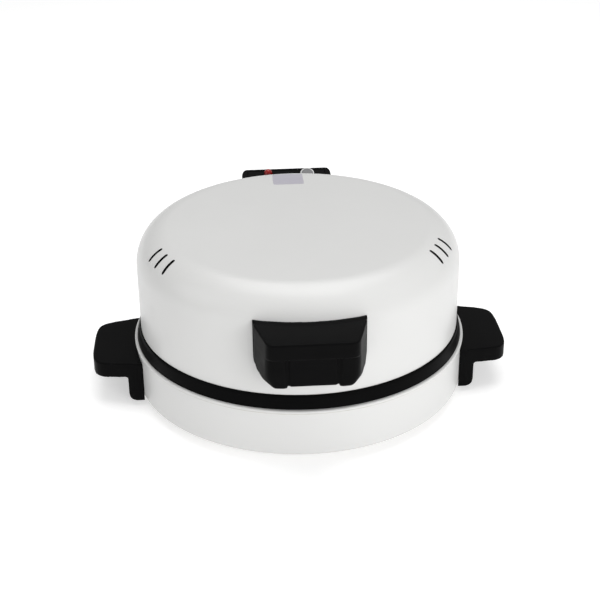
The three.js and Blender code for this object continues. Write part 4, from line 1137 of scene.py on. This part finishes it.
def axis_way(axis, sign=1.0):
    """The direction of an axis, or any other value on that axis and 0 on the others."""
    return [sign if k == axis else 0.0 for k in range(3)]


def turned_in_box(name, node, axis, outline, material, steps):
    """Turns an outline about the middle of a CAD node's box, along one of its axes."""
    place = Matrix.Translation(box_end(node, axis)) @ z_along(axis_way(axis))
    return turned(name, outline, material, steps, place)


length, end_radius = box_length("hinge_pin", 0), PIN_RADIUS - PIN_CHAMFER
pin_outline = [
    (0, 0), (end_radius, 0), (PIN_RADIUS, PIN_CHAMFER, 0.2),
    (PIN_RADIUS, length - PIN_CHAMFER, 0.2), (end_radius, length), (0, length),
]
pin = turned_in_box("pin", "hinge_pin", 0, soften(pin_outline, 3), plated_steel, 48)
dress(pin, "base", "hinge_pin", finish="bright_steel")

length = box_length("cord_bush", 1)
neck_length = length - BUSH_PROUD
bush_outline = [
    (BUSH_BORE, 0, 0.4), (BUSH_NECK, 0, 0.5), (BUSH_NECK, neck_length, 0.3),
    (BUSH_FLANGE, neck_length, 0.6), (BUSH_FLANGE - 1, length, 0.9), (BUSH_BORE, length, 0.9),
]
bush = turned_in_box("bush", "cord_bush", 1, soften(bush_outline, 4), rubber, 64)
dress(bush, "base", "cord_bush", finish="rubber")

# %% [markdown]
# ## Feet and screws, set by a rule
# A foot or a screw is made once. Its copies go where the frame's own feet and screws are: a mesh of bare
# points carries those places into a Geometry Nodes tree, which sets a copy on each. Screws are driven by
# hand, so their slots stand at all angles, and the tree turns each by a random share of a half turn.

# %% A tree that sets copies on points
def set_on(name, nodes, tool, material, axis, high=False, turn=0.0):
    """Copies of a tool on the ends of the CAD nodes' boxes along an axis, turned about it at random."""
    points = new_object(name)
    points.data.from_pydata([box_end(node, axis, high) for node in nodes], [], [])
    tree = Repeat(name, {"Tool": tool, "Turn": turn, "Seed": len(nodes)})
    random = add(tree.tree, "FunctionNodeRandomValue", {}, {"Seed": tree.size("Seed")}, 1)
    turning = axis_way(axis, random * tree.size("Turn"))
    copies = tree.copies(tree.size("Geometry"), tree.shape("Tool"), turning)
    return applied(tree.end(copies, material), points, 35)


corner_names = [f"{y}_{x}" for y in ("front", "rear") for x in ("left", "right")]
foot_nodes = [f"foot_{c}" for c in corner_names]
FOOT_RADIUS, FOOT_BEVEL, RECESS, WEB, HOLE = 12.0, 1.5, 5.2, 5.5, 2.3
foot_high = box_mm(foot_nodes[0])[1][2]
web_low = foot_high - WEB
foot_outline = [
    (RECESS, 0, 0.5), (FOOT_RADIUS - FOOT_BEVEL, 0, 0.6), (FOOT_RADIUS, FOOT_BEVEL, 0.6),
    (FOOT_RADIUS, foot_high, 0.3), (HOLE, foot_high), (HOLE, web_low), (RECESS, web_low, 0.4),
]
foot_tool = hidden_tool(turned("foot_one", soften(foot_outline, 4), rubber, steps=64))
dress(set_on("feet", foot_nodes, foot_tool, rubber, 2), "base", *foot_nodes, finish="rubber")

# %% [markdown]
# A screw's head is a shallow dome with a slot. The slot is cut once in the tool, with the same exact
# boolean as the vents.

# %% Cut a slotted screw and set the screws
HEAD, HEAD_HEIGHT, SHANK, DRIVER_SLOT = 4.2, 2.4, 2.0, 0.9


def screw_tool(name, length, way):
    """A slotted screw whose head's top is at the origin and looks along a direction."""
    outline = [
        (0, -length), (SHANK - 0.5, -length), (SHANK, -length + 0.6), (SHANK, -HEAD_HEIGHT),
        (HEAD, -HEAD_HEIGHT, 0.2), (HEAD, -HEAD_HEIGHT * 0.55, 0.5), (0, 0),
    ]
    screw = turned(name, soften(outline), plated_steel, steps=64)
    slot = hidden_tool(stadium(name + "_slot", HEAD * 3, DRIVER_SLOT, HEAD_HEIGHT))
    cutting = Repeat(name, {"Slot": slot})
    cut = cutting.without(cutting.shape("Slot"))
    applied(cutting.end(cut, plated_steel), screw, 35)
    screw.data.transform(z_along(way))
    return hidden_tool(screw)


# Each set's body and nodes, the axis of its screws, and whether their heads are at its high end
screw_sets = {
    "cover_screw": ("lid", [f"control_cover_screw_{i}" for i in (1, 2, 3, 4)], 1, True),
    "foot_screw": ("base", [f"foot_screw_{c}" for c in corner_names], 2, False),
}
for name, (body, nodes, axis, high) in screw_sets.items():
    tool = screw_tool(name, box_length(nodes[0], axis), axis_way(axis, 1 if high else -1))
    screws = set_on(name + "s", nodes, tool, plated_steel, axis, high, math.pi)
    dress(screws, body, *nodes, finish="bright_steel")

# %% [markdown]
# ## A blank foil plate
# Machines of this kind carry a small foil plate on the lid. Here it is left blank. It is a rounded square
# that lies on the dome, so each of its points takes its height from the dome's own rule.

# %% Lay the foil on the dome
PLATE_HALF, PLATE_CORNER, PLATE_THICK, PLATE_LIFT = 20.0, 2.5, 0.25, 0.05
PLATE_PLACE, PLATE_CELLS = (-3.0, 145.0), 24


def dome_height(radius):
    """The lid's height above the table at a distance from its axis, in millimetres."""
    if radius < flat_radius:
        return top_edge + CROWN * (1 - (radius / flat_radius) ** 2)
    out = (radius - flat_radius) / SHOULDER_WIDTH
    return top_edge - SHOULDER_DROP * (1 - math.sqrt(max(1 - out * out, 0)))


def foil():
    made = Finish("foil_plate", Metallic=0.55, Specular_IOR_Level=0.5)
    crinkle = made.noise(300.0, 4)
    sheen = made.noise(30.0)
    made.set("Base Color", made.blend(sheen, (0.56, 0.53, 0.62), (0.64, 0.63, 0.68)))
    made.set("Roughness", 0.30 + crinkle * 0.15)
    made.bump(crinkle, 0.03 * MM)
    return made.done()


def foil_plate():
    """A grid of points whose four corners are drawn in to arcs, laid on the dome and thickened."""
    bm = bmesh.new()
    inner = 1 - PLATE_CORNER / PLATE_HALF
    ticks = np.linspace(-1, 1, PLATE_CELLS + 1)
    rows = []
    for u_tick in ticks:
        rows.append([])
        for v_tick in ticks:
            u, v = u_tick, v_tick
            du, dv = max(abs(u) - inner, 0), max(abs(v) - inner, 0)
            if du and dv:
                share = max(du, dv) / math.hypot(du, dv)
                u, v = (math.copysign(inner + d * share, w) for d, w in ((du, u), (dv, v)))
            x, y = PLATE_PLACE[0] + u * PLATE_HALF, PLATE_PLACE[1] + v * PLATE_HALF
            z = dome_height(math.hypot(x, y)) + PLATE_LIFT
            rows[-1].append(bm.verts.new((x * MM, y * MM, z * MM)))
    for one, two in zip(rows, rows[1:]):
        for k in range(PLATE_CELLS):
            bm.faces.new([one[k], two[k], two[k + 1], one[k + 1]])
    bmesh.ops.recalc_face_normals(bm, faces=bm.faces)
    bmesh.ops.solidify(bm, geom=bm.faces[:], thickness=-PLATE_THICK * MM)
    return object_of("blank_plate", bm, foil())


dress(foil_plate(), "lid")

# %% [markdown]
# ## The solids that show as they are
# Small parts inside, such as the studs, the thermostat and the bottom plate, keep their CAD shape. Each
# takes the same procedural finish that the dressed pieces of its material have.

# %% Finish the solids that stay
finish_of = {
    "white_paint": white_enamel,
    "bakelite": black_bakelite,
    "pan_coating": pan_coating,
    "aluminised_steel": aluminised_sheet,
    "bright_steel": plated_steel,
    "element_sheath": heated_tube,
    "ceramic": ceramic,
    "red_lens": red_lens,
    "rubber": rubber,
}
for part in frame["record"]["subparts"]:
    for slot in frame["nodes"][part["node"]].material_slots:
        slot.material = finish_of[part["material_slot"]]

# %% [markdown] ## Floor A wide pale floor catches the light and the soft shadow.

# %% Lay the floor
FLOOR_HALF = 20.0


def paper():
    glow = {"Emission_Color": (1, 1, 1, 1), "Emission_Strength": 0.45}
    made = Finish("paper", Roughness=0.9, Specular_IOR_Level=0.05, **glow)
    made.set("Base Color", made.blend(made.noise(3.0), (0.73, 0.73, 0.73), (0.75, 0.75, 0.75)))
    return made.done()


bm = bmesh.new()
bmesh.ops.create_grid(bm, x_segments=1, y_segments=1, size=FLOOR_HALF)
floor = object_of("floor", bm, paper())
